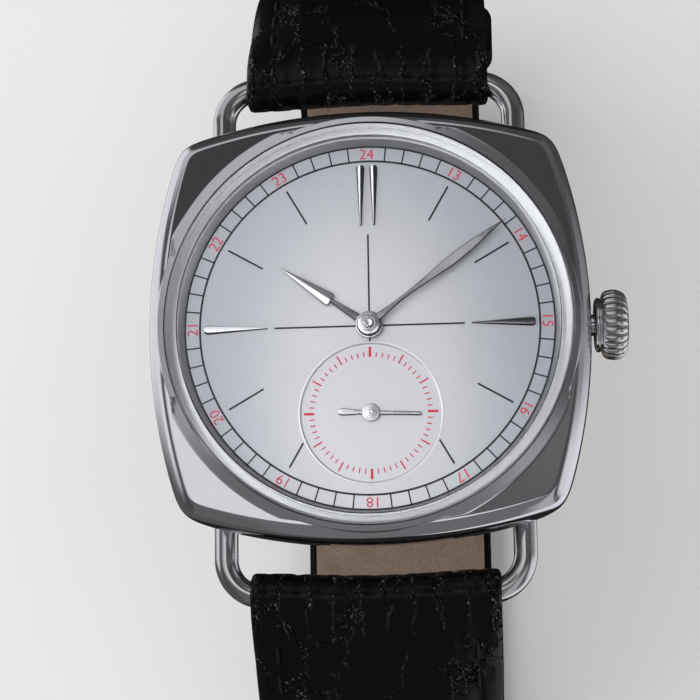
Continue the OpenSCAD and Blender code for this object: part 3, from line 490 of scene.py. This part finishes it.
DOME_STEPS = 24  # the crystal's outer and inner faces, from rim to middle and back
crystal_line = [(16.92, 7.92), (17.73, 7.92), (17.73, 9.85), (17.7, 9.97), (17.6, 10.08), (17.45, 10.19)]
for k in range(DOME_STEPS + 1):
    out = 1 - k / DOME_STEPS
    crystal_line.append((17.3 * out, 11.3 - 1.05 * out ** 2))
for k in range(DOME_STEPS + 1):
    out = k / DOME_STEPS
    crystal_line.append((16.5 * out, 10.2 - 0.8 * out ** 2))
crystal = store("crystal_dome", *lathe(crystal_line + [(16.8, 9.3), (16.9, 9.1)], 288, True), "head", glass,
                ["crystal"], "crystal", sharp=40)
crystal.visible_shadow = False

# Lug wires

LUG_Y, LUG_Z = 23.3, 3.2  # the straight run that carries the strap
WIRE, WIRE_X, WIRE_BEND = 1.05, 13.2, 3.3  # radius of the wire, place of its legs, radius of its bends

for name, turn in (("lug_wire_12", 0), ("lug_wire_6", math.pi)):
    half = [Vector((WIRE_X, 15.8 + k * 1.4, LUG_Z)) for k in range(4)]
    half += [Vector((WIRE_X - WIRE_BEND * (1 - math.cos(a)), LUG_Y - WIRE_BEND * (1 - math.sin(a)), LUG_Z))
             for a in np.linspace(0, math.pi / 2, 20)]
    path = half + [Vector((-p.x, p.y, p.z)) for p in reversed(half)]
    path = [Matrix.Rotation(turn, 3, "Z") @ p for p in path]
    store(name + "_bar", *tube(path, WIRE, 40), "head", wire_steel, [name], "polished_steel", sharp=60)

# Dial

DIAL, HOLE, UNDER = 16.9, 0.95, 6.6  # its radius, the radius of its centre hole, the height of its lower face
SUB, SUB_R, SUB_Z = Vector((0, -7.75, 0)), 6.36, 6.85  # the sunk disc of the small seconds
INK = 0.012  # how far the print stands up


def disc_with_holes(circles, z):
    """The flat face between an outer circle and the holes inside it."""
    filled = bmesh.new()
    for x, y, r, count in circles:
        ring = [filled.verts.new((x + r * math.cos(TAU * i / count), y + r * math.sin(TAU * i / count), z))
                for i in range(count)]
        for i in range(count):
            filled.edges.new((ring[i], ring[(i + 1) % count]))
    bmesh.ops.triangle_fill(filled, use_beauty=True, use_dissolve=False, edges=filled.edges[:])
    filled.verts.index_update()
    verts = [tuple(v.co) for v in filled.verts]
    faces = [[v.index for v in face.verts] for face in filled.faces]
    filled.free()
    return verts, faces


face = Soup()
face.take(*disc_with_holes([(0, 0, DIAL, 240), (0, 0, HOLE, 48), (*SUB.xy, SUB_R, 180)], DIAL_Z))
face.take(*lathe([(DIAL, DIAL_Z), (DIAL, UNDER), (HOLE, UNDER), (HOLE, DIAL_Z)], 240))
bead = [(SUB_R, 7), (6.33, 7.02), (6.28, 7.03), (6.22, 7.01), (6.17, 6.96), (6.12, 6.88), (6.1, SUB_Z)]
face.take(*lathe(bead, 180), Matrix.Translation(SUB), [1] * 180 * (len(bead) - 1))
turned = []
for k in range(26):
    turned += [(6.1 - k * 0.19, SUB_Z), (6.1 - k * 0.19 - 0.1, SUB_Z - 0.004)]
face.take(*lathe(turned + [(0.3, SUB_Z), (0.3, UNDER)], 180), Matrix.Translation(SUB))
store("dial_face", face.verts, face.faces, "head", silver, ["dial"], "dial_silver", sharp=40,
      edges=bead_steel, which=face.which)


def stroke(soup, angle, start, end, width, z=DIAL_Z, centre=(0, 0)):
    """A printed stroke along a ray, in degrees clockwise from twelve."""
    half = width / 2
    soup.slab([(-half, start), (half, start), (half, end), (-half, end)], z, z + INK,
              Matrix.Translation((*centre, 0)) @ clockwise(angle))


black = Soup()
for inner, outer in ((14.93, 15.11), (16.27, 16.41)):
    black.ring(inner, outer, DIAL_Z, DIAL_Z + INK)
for minute in range(60):
    if minute % 5:
        stroke(black, minute * 6, 15.02, 16.34, 0.13)
for hour in (1, 2, 4, 5, 7, 8, 10, 11):
    stroke(black, hour * 30, 11.9 if hour in (5, 7) else 10.85, 14.4, 0.17)
for angle, end in ((0, 8.3), (90, 8.4), (180, 1.4), (270, 8.4)):
    stroke(black, angle, 0.9, end, 0.16)
store("dial_strokes", black.verts, black.faces, "head", black_print, slot="dial_silver")


def number_form(text, height):
    """The outlines of a number from the built-in typeface, centred."""
    curve = bpy.data.curves.new("number", "FONT")
    curve.body = text
    curve.align_x = "CENTER"
    curve.offset = -0.004
    curve.resolution_u = 4
    holder = bpy.data.objects.new("number", curve)
    mesh = holder.to_mesh()
    xs, ys = [v.co.x for v in mesh.vertices], [v.co.y for v in mesh.vertices]
    scale = height / (max(ys) - min(ys))
    middle = ((max(xs) + min(xs)) / 2, (max(ys) + min(ys)) / 2)
    verts = [((v.co.x - middle[0]) * scale, (v.co.y - middle[1]) * scale, 0) for v in mesh.vertices]
    faces = [list(p.vertices) for p in mesh.polygons]
    holder.to_mesh_clear()
    bpy.data.objects.remove(holder)
    bpy.data.curves.remove(curve)
    return verts, faces


red = Soup()
for hour in range(12):
    red.take(*number_form(str(12 + hour if hour else 24), 0.92),
             clockwise(hour * 30) @ Matrix.Translation((0, 15.69, DIAL_Z + INK)))
for tick in range(60):
    end, width = (5.88, 0.13) if tick % 5 == 0 else (5.43, 0.1)
    stroke(red, tick * 6, 4.98, end, 0.22 if tick % 15 == 0 else width, SUB_Z, SUB.xy)
store("dial_red", red.verts, red.faces, "head", red_print, slot="dial_silver")

# Hour markers and hands


def ridge(soup, right, low, high, base, matrix=None, edge=0.07):
    """A faceted bar: the right side of its outline mirrored, with walls in painted shade and a ridge along the
    middle.
    """
    n = len(right)
    tops = [max(x - edge, 0.35 * x) for x, _ in right]
    verts = [(x, y, base) for x, y in right] + [(-x, y, base) for x, y in right]
    for sign in (1, -1):
        verts += [(sign * x, y, base + low) for x, (_, y) in zip(tops, right)]
    verts += [(0, y, base + low + (high - low) * min(1, x / 0.16)) for x, y in right]
    faces, which = [], []
    for i in range(n - 1):
        faces += [[i, i + 1, 2 * n + i + 1, 2 * n + i], [n + i + 1, n + i, 3 * n + i, 3 * n + i + 1],
                  [2 * n + i, 2 * n + i + 1, 4 * n + i + 1, 4 * n + i],
                  [4 * n + i, 4 * n + i + 1, 3 * n + i + 1, 3 * n + i], [i, n + i, n + i + 1, i + 1]]
        which += [1, 1, 0, 0, 1]
    for k in (0, n - 1):
        faces.append([k, n + k, 3 * n + k, 4 * n + k, 2 * n + k])
        which.append(1)
    soup.take(verts, faces, matrix, which)


def boss(soup, low, points):
    """A turned hub: points run from its rim up and over its upper face, towards the middle. Steep walls are painted
    dark as shade.
    """
    line = [(points[0][0], low), *points]
    steep = [int(abs(b[1] - a[1]) > abs(b[0] - a[0])) for a, b in zip(line, line[1:])]
    soup.take(*lathe(line, 120), which=[dark for dark in steep for _ in range(120)])


def hand(node, angle, body, base, low, high, outline, hub, centre=(0, 0, 0)):
    """A hand over its node, with the angle that it points at and its hub."""
    soup = Soup()
    ridge(soup, outline, low, high, base)
    boss(soup, base, hub)
    matrix = Matrix.Translation(centre) @ clockwise(angle)
    store(node + "_form", [tuple(matrix @ Vector(v)) for v in soup.verts], soup.faces, body, hand_metal, [node],
          "hand_steel", sharp=14, edges=painted_shade_edge, which=soup.which)


markers = Soup()
for x, lean in ((-0.6, 0.012), (0.57, 0.005)):
    ridge(markers, [(0.05, 9.1), (0.09, 9.13), (0.38, 14.4), (0.3, 14.6)], 0.3, 0.33, DIAL_Z,
          Matrix.Translation((x - 12 * lean, 0, 0)) @ Matrix.Rotation(-lean, 4, "Z"), 0.16)
for angle in (-90, 90):
    ridge(markers, [(0.03, 9), (0.05, 9.05), (0.42, 14.3), (0.3, 14.6)], 0.3, 0.32, DIAL_Z, clockwise(angle), 0.14)
store("markers", markers.verts, markers.faces, "head", index_metal, ["hour_markers"], "index_steel", sharp=12,
      edges=painted_shade_edge, which=markers.which)

hand("hour_hand", 304.4, "hour_work", 7.4, 0.07, 0.22,
     [(0.36, 0), (0.36, 1.1), (0.29, 2.2), (0.18, 4.2), (0.5, 4.08), (0.585, 4.14), (0.605, 4.32), (0.58, 4.7),
      (0.02, 9.6)],
     [(1.2, 7.62), (1.17, 7.66), (1.1, 7.67), (1.02, 7.64), (0.98, 7.62), (0.5, 7.62)])
leaf = smooth_line([(0.36, 0), (0.34, 0.9), (0.2, 3), (0.21, 5), (0.31, 6.8), (0.43, 8.6), (0.455, 9.8),
                    (0.38, 11.6), (0.22, 13.4), (0.07, 14.7), (0.02, 15.3)], 4)
hand("minute_hand", 53.1, "minute_work", 7.82, 0.08, 0.22, [tuple(p) for p in leaf],
     [(1.0, 8.04), (0.98, 8.09), (0.93, 8.11), (0.86, 8.12), (0.74, 8.15), (0.66, 8.2), (0.6, 8.22), (0.5, 8.22),
      (0.46, 8.24), (0.43, 8.3), (0.42, 8.38), (0.38, 8.43), (0.3, 8.46), (0.15, 8.45), (0, 8.44)])
hand("seconds_hand", 92.5, "seconds_work", DIAL_Z, 0.13, 0.135,
     [(0.12, -2.9), (0.26, -2.8), (0.32, -2.45), (0.26, -1.7), (0.18, -0.9), (0.19, 0), (0.17, 4.2), (0.15, 4.4)],
     [(0.78, 7.14), (0.76, 7.17), (0.72, 7.18), (0.7, 7.1805), (0.26, 7.184), (0.24, 7.185), (0.2, 7.2),
      (0.16, 7.21), (0.1, 7.2), (0, 7.19)], SUB)

# Crown, turned about x: each ring is its place from the case side and its radius

CROWN_X, CROWN_Z = 19.8, 4.6
LOBES = 24
VALLEY, TAPER = 2.76, 2.3  # the radius between lobes, and where it starts to taper
count = LOBES * 16
lobe = [math.sqrt(max(0.0, 1 - (2 * abs(k / count * LOBES % 1 - 0.5)) ** 2)) for k in range(count)]
edge = smooth_line([(1.9, 0.02), (2.2, 0.08), (2.38, 0.22), (2.42, 0.4), (2.36, 0.56), (2.4, 0.66), (2.66, 0.7),
                    (2.9, 0.85), (3.06, 1.15), (3.13, 1.6), (3.12, 1.95), (3.03, 2.3), (2.85, 2.6), (2.6, 2.8),
                    (2.3, 2.92), (2.0, 2.97)], 4)
rings = [(0, [1.3] * count)]
for r, x in edge:
    valley = min(r, VALLEY if x < TAPER else VALLEY - (x - TAPER) * 0.9)
    rings.append((x, [valley + (r - valley) * share for share in lobe]))
rings += [(3.05, [1.2] * count), (3.1, [0.0] * count)]
verts = [(CROWN_X + x, r * math.cos(TAU * k / count), CROWN_Z + r * math.sin(TAU * k / count))
         for x, radii in rings for k, r in enumerate(radii)]
store("crown_form", verts, grid_faces(len(rings), count, closed_columns=True), "crown", crown_steel, ["crown"],
      "polished_steel", sharp=50)

# Strap. Each half runs from its lug down over a fold to the table, where its foot bends inwards.

FOLD, FOOT = 24.0, 10.0  # radii of the fold and of the bend at the foot
START = math.radians(20)  # the turn at which the fold begins
FOLD_LENGTH = (math.pi / 2 - START) * FOLD
FOOT_BEND = FOOT * math.pi / 2
FOLD_Y = LUG_Y + FOLD * (1 - math.sin(START))
FOLD_Z = LUG_Z - FOLD * math.cos(START)
GROUND = -52.0
PADDED, UPRIGHT, SLIM = 4.1, 2.8, 2.4  # its thickness by the lug, below the fold and at the foot
SIDE_T, SLOPE, FLAT = 2.5, 4.2, 0.4  # the thickness at its sides, and the widths of the slope to them and their flat
HALF_LUG = 11  # half its width at the lug
SEAM = 2.2  # from the side of the strap to its stitches
PITCH, HALF_STITCH, THREAD = 2.9, 1.05, 0.17  # spacing, half the length and radius of the stitches
CREASE, CREASE_FADE = 0.1, 0.8  # the depth of the creases, and how far from the side they reach it
UNDERSIDE = 40  # how far aside the lower face lies in the map
STEP = 0.34  # between the rows of the skin's mesh
SHORT_Z = GROUND + 1 + 1.4 + SLIM / 2
LONG_Z = GROUND + SLIM / 2
SHORT_DROP = FOLD_Z - FOOT - SHORT_Z
LONG_DROP = FOLD_Z - FOOT - LONG_Z
SHORT_LENGTH = 73.0
TAIL = 10  # the radius of the long half's tip
TIP_GAP = 7.2 + 4  # from that tip to the buckle bar
LOOP, LOOP_SAG = 2.05, 0.35  # the radius of the skin round the wire, and how much it is drawn in at its middle
LOOP_ROWS = 14


def strap_at(s, drop):
    """The y, z and turn of the strap's middle layer at a length from the lug."""
    if s < FOLD_LENGTH:
        turn = START + s / FOLD
        return (LUG_Y + FOLD * (math.sin(turn) - math.sin(START)),
                LUG_Z - FOLD * (math.cos(START) - math.cos(turn)), turn)
    if s < FOLD_LENGTH + drop:
        return FOLD_Y, FOLD_Z - (s - FOLD_LENGTH), math.pi / 2
    if s < FOLD_LENGTH + drop + FOOT_BEND:
        turn = math.pi / 2 + (s - FOLD_LENGTH - drop) / FOOT
        return (FOLD_Y - FOOT * (1 - math.sin(turn)), FOLD_Z - drop + FOOT * math.cos(turn), turn)
    return FOLD_Y - FOOT - (s - FOLD_LENGTH - drop - FOOT_BEND), FOLD_Z - drop - FOOT, math.pi


BUCKLE_Y = strap_at(SHORT_LENGTH, SHORT_DROP)[0]
LONG_LENGTH = FOLD_LENGTH + LONG_DROP + FOOT_BEND + FOLD_Y - FOOT + BUCKLE_Y - TIP_GAP


def thickness(s, drop):
    return float(np.interp(s, [6, FOLD_LENGTH, FOLD_LENGTH + drop, FOLD_LENGTH + drop + FOOT_BEND],
                           [PADDED, UPRIGHT, UPRIGHT, SLIM]))


def slimming(s, drop, inward):
    """How much lower than its padded middle the skin lies at a distance from the side."""
    rise = min(1.0, max(0.0, (s - 1.5) / 5))
    return max(0.0, thickness(s, drop) - SIDE_T) * rise * (1 - min(1.0, max(0.0, inward - FLAT) / SLOPE) ** 0.6)


def rounded(inward, corner):
    """How much a rounded corner takes off at a distance from the side."""
    return corner - math.sqrt(max(0.0, corner ** 2 - (corner - inward) ** 2)) if inward < corner else 0.0


def strap_width(z):
    """22 mm at the lug and 20 mm at the table."""
    return float(np.interp(z, [-44, 0], [20, 22]))


def crease(s, u, inward, seed):
    """How deep the skin lies in the creases that run across and along the strap."""
    p = Vector((u * 0.42 + seed, s * 0.16, seed * 0.7))
    wander = noise.noise(p * 1.7) * 0.9
    across = u + wander + 0.6 * noise.noise(Vector((s * 0.5, u * 0.2, seed + 5)))
    across = abs((across / CREASE_PITCH) % 1 - 0.5) * 2
    along = abs(((s + 1.4 * noise.noise(Vector((u * 0.35, s * 0.12, seed + 9)))) / 3.1) % 1 - 0.5) * 2
    line = across ** 5 * max(0.15, min(1.0, (8 - s) / 5)) * 1.3
    other = max(0.0, 1 - (1 - along) / 0.25) * 0.5 * max(0.0, min(1.0, 0.4 + 1.6 * noise.noise(p * 0.9)))
    return CREASE * max(line, other) * min(1.0, inward / CREASE_FADE)


def strap_form(name, length, drop, sign, half_at, body, seed):
    """The skin of one half; sign is 1 towards twelve and -1 towards six."""
    rows = max(2, round(length / STEP))
    columns = 64
    verts, uvs = [], []
    spots = [0.5 - 0.5 * math.cos(math.pi * (0.12 + 0.76 * j / (columns - 1))) for j in range(columns)]
    spots = [(v - spots[0]) / (spots[-1] - spots[0]) * 2 - 1 for v in spots]

    def surface(s, u, half, side):
        """How far the skin stands from the middle layer."""
        inward = half - abs(u)
        if side < 0:
            return thickness(s, drop) / 2 - rounded(inward, 0.3)
        seam = 0.16 * math.exp(-((inward - SEAM) / 0.42) ** 2) * min(1.0, s / 3)
        return (thickness(s, drop) / 2 - slimming(s, drop, inward) - seam - crease(s, u, inward, seed)
                - rounded(inward, 0.55))

    for i in range(rows + 1):
        s = length * i / rows
        y, z, turn = strap_at(s, drop)
        half = half_at(s, z)
        for side in (1, -1):
            for v in spots[::side]:
                u = v * half
                off = surface(s, u, half, side) * side
                verts.append((u, sign * (y + off * math.sin(turn)), z + off * math.cos(turn)))
                uvs.append((u if side > 0 else u + UNDERSIDE, s))
    ring = 2 * columns
    faces = grid_faces(rows + 1, ring, closed_columns=True)
    faces.append([rows * ring + k for k in range(ring)])
    base = len(verts)
    for k in range(1, LOOP_ROWS):
        a = math.pi * k / LOOP_ROWS
        for v in spots:
            u = v * HALF_LUG
            inward = HALF_LUG - abs(u)
            r = LOOP - crease(-LOOP * a, u, inward, seed) - rounded(inward, 0.5)
            r -= LOOP_SAG * math.sin(a) * (0.5 + 0.5 * math.cos(v * math.pi))
            verts.append((u, sign * (LUG_Y + r * math.sin(START - a)), LUG_Z + r * math.cos(START - a)))
            uvs.append((u, -LOOP * a))

    def loop_vertex(k, j):
        if k == 0:
            return j
        if k == LOOP_ROWS:
            return ring - 1 - j
        return base + (k - 1) * columns + j

    for k in range(LOOP_ROWS):
        for j in range(columns - 1):
            faces.append([loop_vertex(k, j), loop_vertex(k, j + 1), loop_vertex(k + 1, j + 1), loop_vertex(k + 1, j)])
    for j in (0, columns - 1):
        faces.append([loop_vertex(k, j) for k in range(LOOP_ROWS + 1)])
    store(name, verts, faces, body, black_leather, [body], "strap_black", sharp=70, uvs=uvs)


def lining_form(name, length, drop, sign, half_at, node, body):
    start, inset, sunk = 3, 0.75, 0.3
    rows = round((length - start) / 0.8)
    columns = 25
    verts, uvs = [], []
    for side in (0, 1):
        for i in range(rows + 1):
            s = start + (length - start) * i / rows
            y, z, turn = strap_at(s, drop)
            half = max(0.3, half_at(s, z) - inset)
            for j in range(columns):
                u = half * (2 * j / (columns - 1) - 1)
                near = min(half - abs(u), s - start, length - s)
                off = -thickness(s, drop) / 2 - (0.06 * min(1.0, near / 0.4) if side else -sunk)
                verts.append((u, sign * (y + off * math.sin(turn)), z + off * math.cos(turn)))
                uvs.append((u, s))
    size = (rows + 1) * columns
    faces = grid_faces(rows + 1, columns)
    faces += [[size + i for i in face] for face in faces]
    border = list(range(columns)) + [i * columns + columns - 1 for i in range(1, rows + 1)]
    border += [rows * columns + j for j in range(columns - 2, -1, -1)]
    border += [i * columns for i in range(rows - 1, 0, -1)]
    faces += [[a, b, size + b, size + a] for a, b in zip(border, border[1:] + border[:1])]
    store(name, verts, faces, body, tan_leather, [node], "strap_tan", sharp=60, uvs=uvs)


def stitches(name, end, drop, sign, body):
    start = 3.4
    soup = Soup()
    count = int((end - start) / PITCH)
    for k in range(count):
        middle = start + (end - start) * (k + 0.5) / count
        for side in (-1, 1):
            path, radii = [], []
            for t in np.linspace(-1, 1, 9):
                s = middle + t * HALF_STITCH
                y, z, turn = strap_at(s, drop)
                off = thickness(s, drop) / 2 - slimming(s, drop, SEAM) - 0.02 - 0.2 * t * t
                path.append((side * (strap_width(z) / 2 - SEAM), sign * (y + off * math.sin(turn)),
                             z + off * math.cos(turn)))
                radii.append(THREAD * math.sqrt(max(0.04, 1 - t ** 4)))
            soup.take(*tube(path, radii, 8))
    store(name, soup.verts, soup.faces, body, thread, slot="strap_black", sharp=60)


def half_short(s, z):
    """Half the width of the short half, which is cut straight at its end."""
    return strap_width(z) / 2


def half_long(s, z):
    """Half the width of the long half, with its round tip."""
    past = s - LONG_LENGTH + TAIL
    return max(0.6, TAIL * math.sqrt(max(0.0, 1 - (past / TAIL) ** 2))) if past > 0 else strap_width(z) / 2


strap_form("strap_12_skin", SHORT_LENGTH + 1.15, SHORT_DROP, 1, half_short, "strap_12", 3.0)
strap_form("strap_6_skin", LONG_LENGTH, LONG_DROP, -1, half_long, "strap_6", 17.0)
lining_form("strap_12_tan", SHORT_LENGTH - 1.4, SHORT_DROP, 1, half_short, "strap_12_lining", "strap_12")
lining_form("strap_6_tan", LONG_LENGTH - 2, LONG_DROP, -1, half_long, "strap_6_lining", "strap_6")
stitches("stitches_12", 62, SHORT_DROP, 1, "strap_12")
stitches("stitches_6", LONG_LENGTH - 12, LONG_DROP, -1, "strap_6")

# Keepers

BAND, BAND_T, BEND = 4.4, 1.0, 0.7  # width and thickness of the leather, radius inside its bends
OUTER, INNER = 0.3, 0.2  # the rounding of its outer and inner edges


def arc(start, step):
    """Cosine and sine at each step of a quarter turn."""
    for angle in range(start, start + 91, step):
        yield math.cos(math.radians(angle)), math.sin(math.radians(angle))


def keeper(name, centre, half_x, low, high, body, node, level):
    """A leather band bent round a rectangle: half_x, low and high are its inside. A level one lies round z."""
    path = []
    for cx, cy, start in ((half_x - BEND, high - BEND, 0), (-half_x + BEND, high - BEND, 90),
                          (-half_x + BEND, low + BEND, 180), (half_x - BEND, low + BEND, 270)):
        path += [(cx, cy, *normal) for normal in arc(start, 10)]
    section = []
    for cx, cy, start, r in ((BAND_T - OUTER, BAND / 2 - OUTER, 0, OUTER), (INNER, BAND / 2 - INNER, 90, INNER),
                             (INNER, -BAND / 2 + INNER, 180, INNER), (BAND_T - OUTER, -BAND / 2 + OUTER, 270, OUTER)):
        section += [(cx + r * nx, cy + r * ny) for nx, ny in arc(start, 30)]
    verts, uvs, run = [], [], 0
    for i, (cx, cy, nx, ny) in enumerate(path):
        run += math.hypot(cx - path[i - 1][0], cy - path[i - 1][1]) + 0.2
        for depth, across in section:
            a, b = cx + (BEND + depth) * nx, cy + (BEND + depth) * ny
            verts.append(tuple(Vector((a, b, across) if level else (a, across, b)) + Vector(centre)))
            uvs.append((across, run))
    store(name, verts, grid_faces(len(path), len(section), True, True), body, black_leather, [node], "strap_black",
          sharp=60, uvs=uvs)


FIXED_Y, FREE_Z = BUCKLE_Y + 6.2, FOLD_Z - 13
keeper("fixed_band", (0, FIXED_Y, 0), 10.1, GROUND + 1, SHORT_Z + SLIM / 2 + 0.05, "strap_12", "fixed_keeper", False)
free_half = (strap_width(FREE_Z + BAND / 2) + 0.65) / 2
keeper("free_band", (0, FOLD_Y, FREE_Z), free_half, -1.5, 2.8, "free_keeper", "free_keeper", True)

# The CAD nodes that show as they are: movement, seals, screws and buckle

FINISH = {
    "polished_steel": polished,
    "brushed_steel": steel_finish("brushed_steel", (0.6, 0.61, 0.63), 0.4, (300, 9000, 9000)),
    "plate_nickel": steel_finish("plate_nickel", (0.66, 0.66, 0.65), 0.4, (2500, 120, 900)),
    "wheel_brass": steel_finish("wheel_brass", (0.72, 0.53, 0.25), 0.4, (4000, 4000, 300)),
    "work_steel": steel_finish("work_steel", (0.58, 0.59, 0.62), 0.15, (5000, 700, 3000)),
    "rotor_metal": steel_finish("rotor_metal", (0.5, 0.5, 0.52), 0.4, (700, 700, 50), spun=0.6),
    "blue_spring": steel_finish("blue_spring", (0.06, 0.1, 0.42), 0.15),
    "ruby": two_tone("ruby", 2500, (0.45, 0.01, 0.05), (0.75, 0.05, 0.13), Roughness=0.08, IOR=1.76, Coat_Weight=0.6),
    "gasket": two_tone("gasket", 2500, (0.012, 0.012, 0.012), (0.03, 0.03, 0.03), Roughness=0.55),
    "back_glass": glass_finish("back_glass", Roughness=0.02, IOR=1.5)}
standing = {name for piece in bpy.data.objects for name in piece.get("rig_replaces", [])}
for row in frame["record"]["subparts"]:
    if row["node"] not in standing:
        mesh = frame["nodes"][row["node"]].data
        mesh.materials.clear()
        mesh.materials.append(FINISH[row["material_slot"]])
for name in ("buckle_frame", "buckle_tongue", "buckle_bar", "case_screws"):
    modifiers = frame["nodes"][name].modifiers
    modifiers.new("seams", "WELD").merge_threshold = 0.002 * MM
    rounding = modifiers.new("rounding", "BEVEL")
    rounding.width = 0.12 * MM
    rounding.segments = 3
    rounding.limit_method = "ANGLE"
    rounding.angle_limit = math.radians(40)
    rounding.harden_normals = True

# Floor: plain paper, but for reflected rays it glows as a painted reflection: metal sees a dark table in it with a
# bright zone at the left and one at the right

FLOOR, FLOOR_HALF = -0.0523, 1.5
floor = bpy.data.objects.new("floor", bpy.data.meshes.new("floor"))
floor.data.from_pydata([(x * FLOOR_HALF, y * FLOOR_HALF, FLOOR) for x, y in ((-1, -1), (1, -1), (1, 1), (-1, 1))], [],
                       [(0, 1, 2, 3)])
scene.collection.objects.link(floor)
paper, g, inputs = material("floor_paper", Roughness=0.9, Specular_IOR_Level=0.1)
place = g.coords()
g.link(g.mix(g.noise(place, 30, 4), (0.8, 0.8, 0.8), (0.84, 0.84, 0.84)), inputs["Base Color"])
axes = g.axes(place)
slant = g.math("DIVIDE", axes[1], g.math("ADD", g.math("ABSOLUTE", axes[0]), 0.001))
slant = g.math("MULTIPLY_ADD", slant, 0.25, 0.3)
left = g.math("MULTIPLY", g.ramp(g.math("MULTIPLY", axes[0], -5.0), [(0.2, 0.0), (0.28, 1.0)]),
              g.ramp(slant, [(0.25, 0.1), (0.34, 1.0), (0.6, 1.0), (0.75, 0.05)]))
right = g.math("MULTIPLY", g.ramp(g.math("MULTIPLY", axes[0], 5.0), [(0.24, 0.0), (0.34, 1.0)]),
               g.ramp(slant, [(0.26, 1.0), (0.36, 0.3), (0.46, 0.06)]))
# Painted reflection: the floor glows with these zones for reflected rays only
glowing_reflection = g.add("ShaderNodeEmission", {"Color": g.mix(g.math("MAXIMUM", left, right), (0.02, 0.019, 0.018),
                                                     (0.9, 0.9, 0.92)), "Strength": 1.0}).outputs[0]
light_path = g.add("ShaderNodeLightPath").outputs
g.link(g.choose(light_path["Is Glossy Ray"], g.tree.nodes["Principled BSDF"].outputs[0], glowing_reflection),
       g.tree.nodes["Material Output"].inputs[0])
floor.data.materials.append(paper)

# World: the camera sees pale grey, reflections a studio of dark and bright zones, and the rest a soft light

world = bpy.data.worlds.new("studio")
world.use_nodes = True
scene.world = world
g = Graph(world.node_tree)
axes = g.axes(g.coords("Generated"))
front = g.math("MULTIPLY", axes[1], -1.0)
west = g.math("MULTIPLY", axes[0], -1.0)
slope = g.math("ADD", g.math("MULTIPLY", axes[0], -30.0), g.math("MULTIPLY", axes[1], -34.5))
edge = g.ramp(g.math("ADD", slope, 3.69), [(0.0, 0.0), (0.5, 0.3), (1.0, 1.0)])
low = g.ramp(front, [(0.0, 1.0), (0.18, 0.12)])
gap = g.ramp(west, [(0.24, 1.0), (0.32, 0.6), (0.55, 0.6), (0.62, 0.05), (0.9, 0.05), (0.97, 1.0)])
box = g.math("MULTIPLY", g.math("MULTIPLY", edge, low), gap)
back = g.math("MULTIPLY", g.ramp(axes[1], [(0.36, 0.0), (0.5, 0.6), (0.8, 0.6), (0.93, 0.02)]),
              g.ramp(g.math("ADD", west, 0.5), [(0.3, 0.1), (0.5, 1.0)]))
side = g.math("MULTIPLY", g.ramp(axes[0], [(0.26, 0.0), (0.36, 0.5), (0.6, 0.5), (0.7, 0.0)]),
              g.ramp(front, [(0.02, 0.0), (0.16, 1.0)]))
east = g.math("MULTIPLY", g.ramp(axes[0], [(0.76, 0.0), (0.96, 0.9)]),
              g.ramp(g.math("ADD", axes[1], 0.5), [(0.4, 1.0), (0.6, 0.3), (0.8, 0.06)]))
slate = g.ramp(axes[1], [(0.1, 0.085), (0.16, 0.16), (0.2, 0.12), (0.26, 0.062)])
zones = g.math("MAXIMUM", g.math("MAXIMUM", box, back), g.math("MAXIMUM", side, east))
light_path = g.add("ShaderNodeLightPath").outputs
seen = g.choose(light_path["Is Glossy Ray"], g.background((1, 1, 1, 1), 0.5),
                g.background(g.mix(zones, slate, (0.9, 0.9, 0.9)), 1.0))
g.link(g.choose(light_path["Is Camera Ray"], seen, g.background((0.93, 0.93, 0.93, 1), 1.0)),
       g.tree.nodes["World Output"].inputs[0])

# Lamps, all aimed at the middle of the case; polished metal doesn't mirror them

for name, place, size, power in (("key", (-0.3, -0.02, 0.53), 0.6, 2.35), ("glint", (-0.6, 0.0, 0.15), 0.34, 0.8),
                                 ("fill", (0.14, -0.07, 0.62), 0.26, 0.32)):
    light = bpy.data.lights.new(name, "AREA")
    light.shape = "RECTANGLE"
    light.size = light.size_y = size
    light.energy = power
    holder = bpy.data.objects.new(name, light)
    scene.collection.objects.link(holder)
    holder.location = place
    holder.rotation_euler = (-Vector(place)).to_track_quat("-Z", "Y").to_euler()
    holder.visible_glossy = False
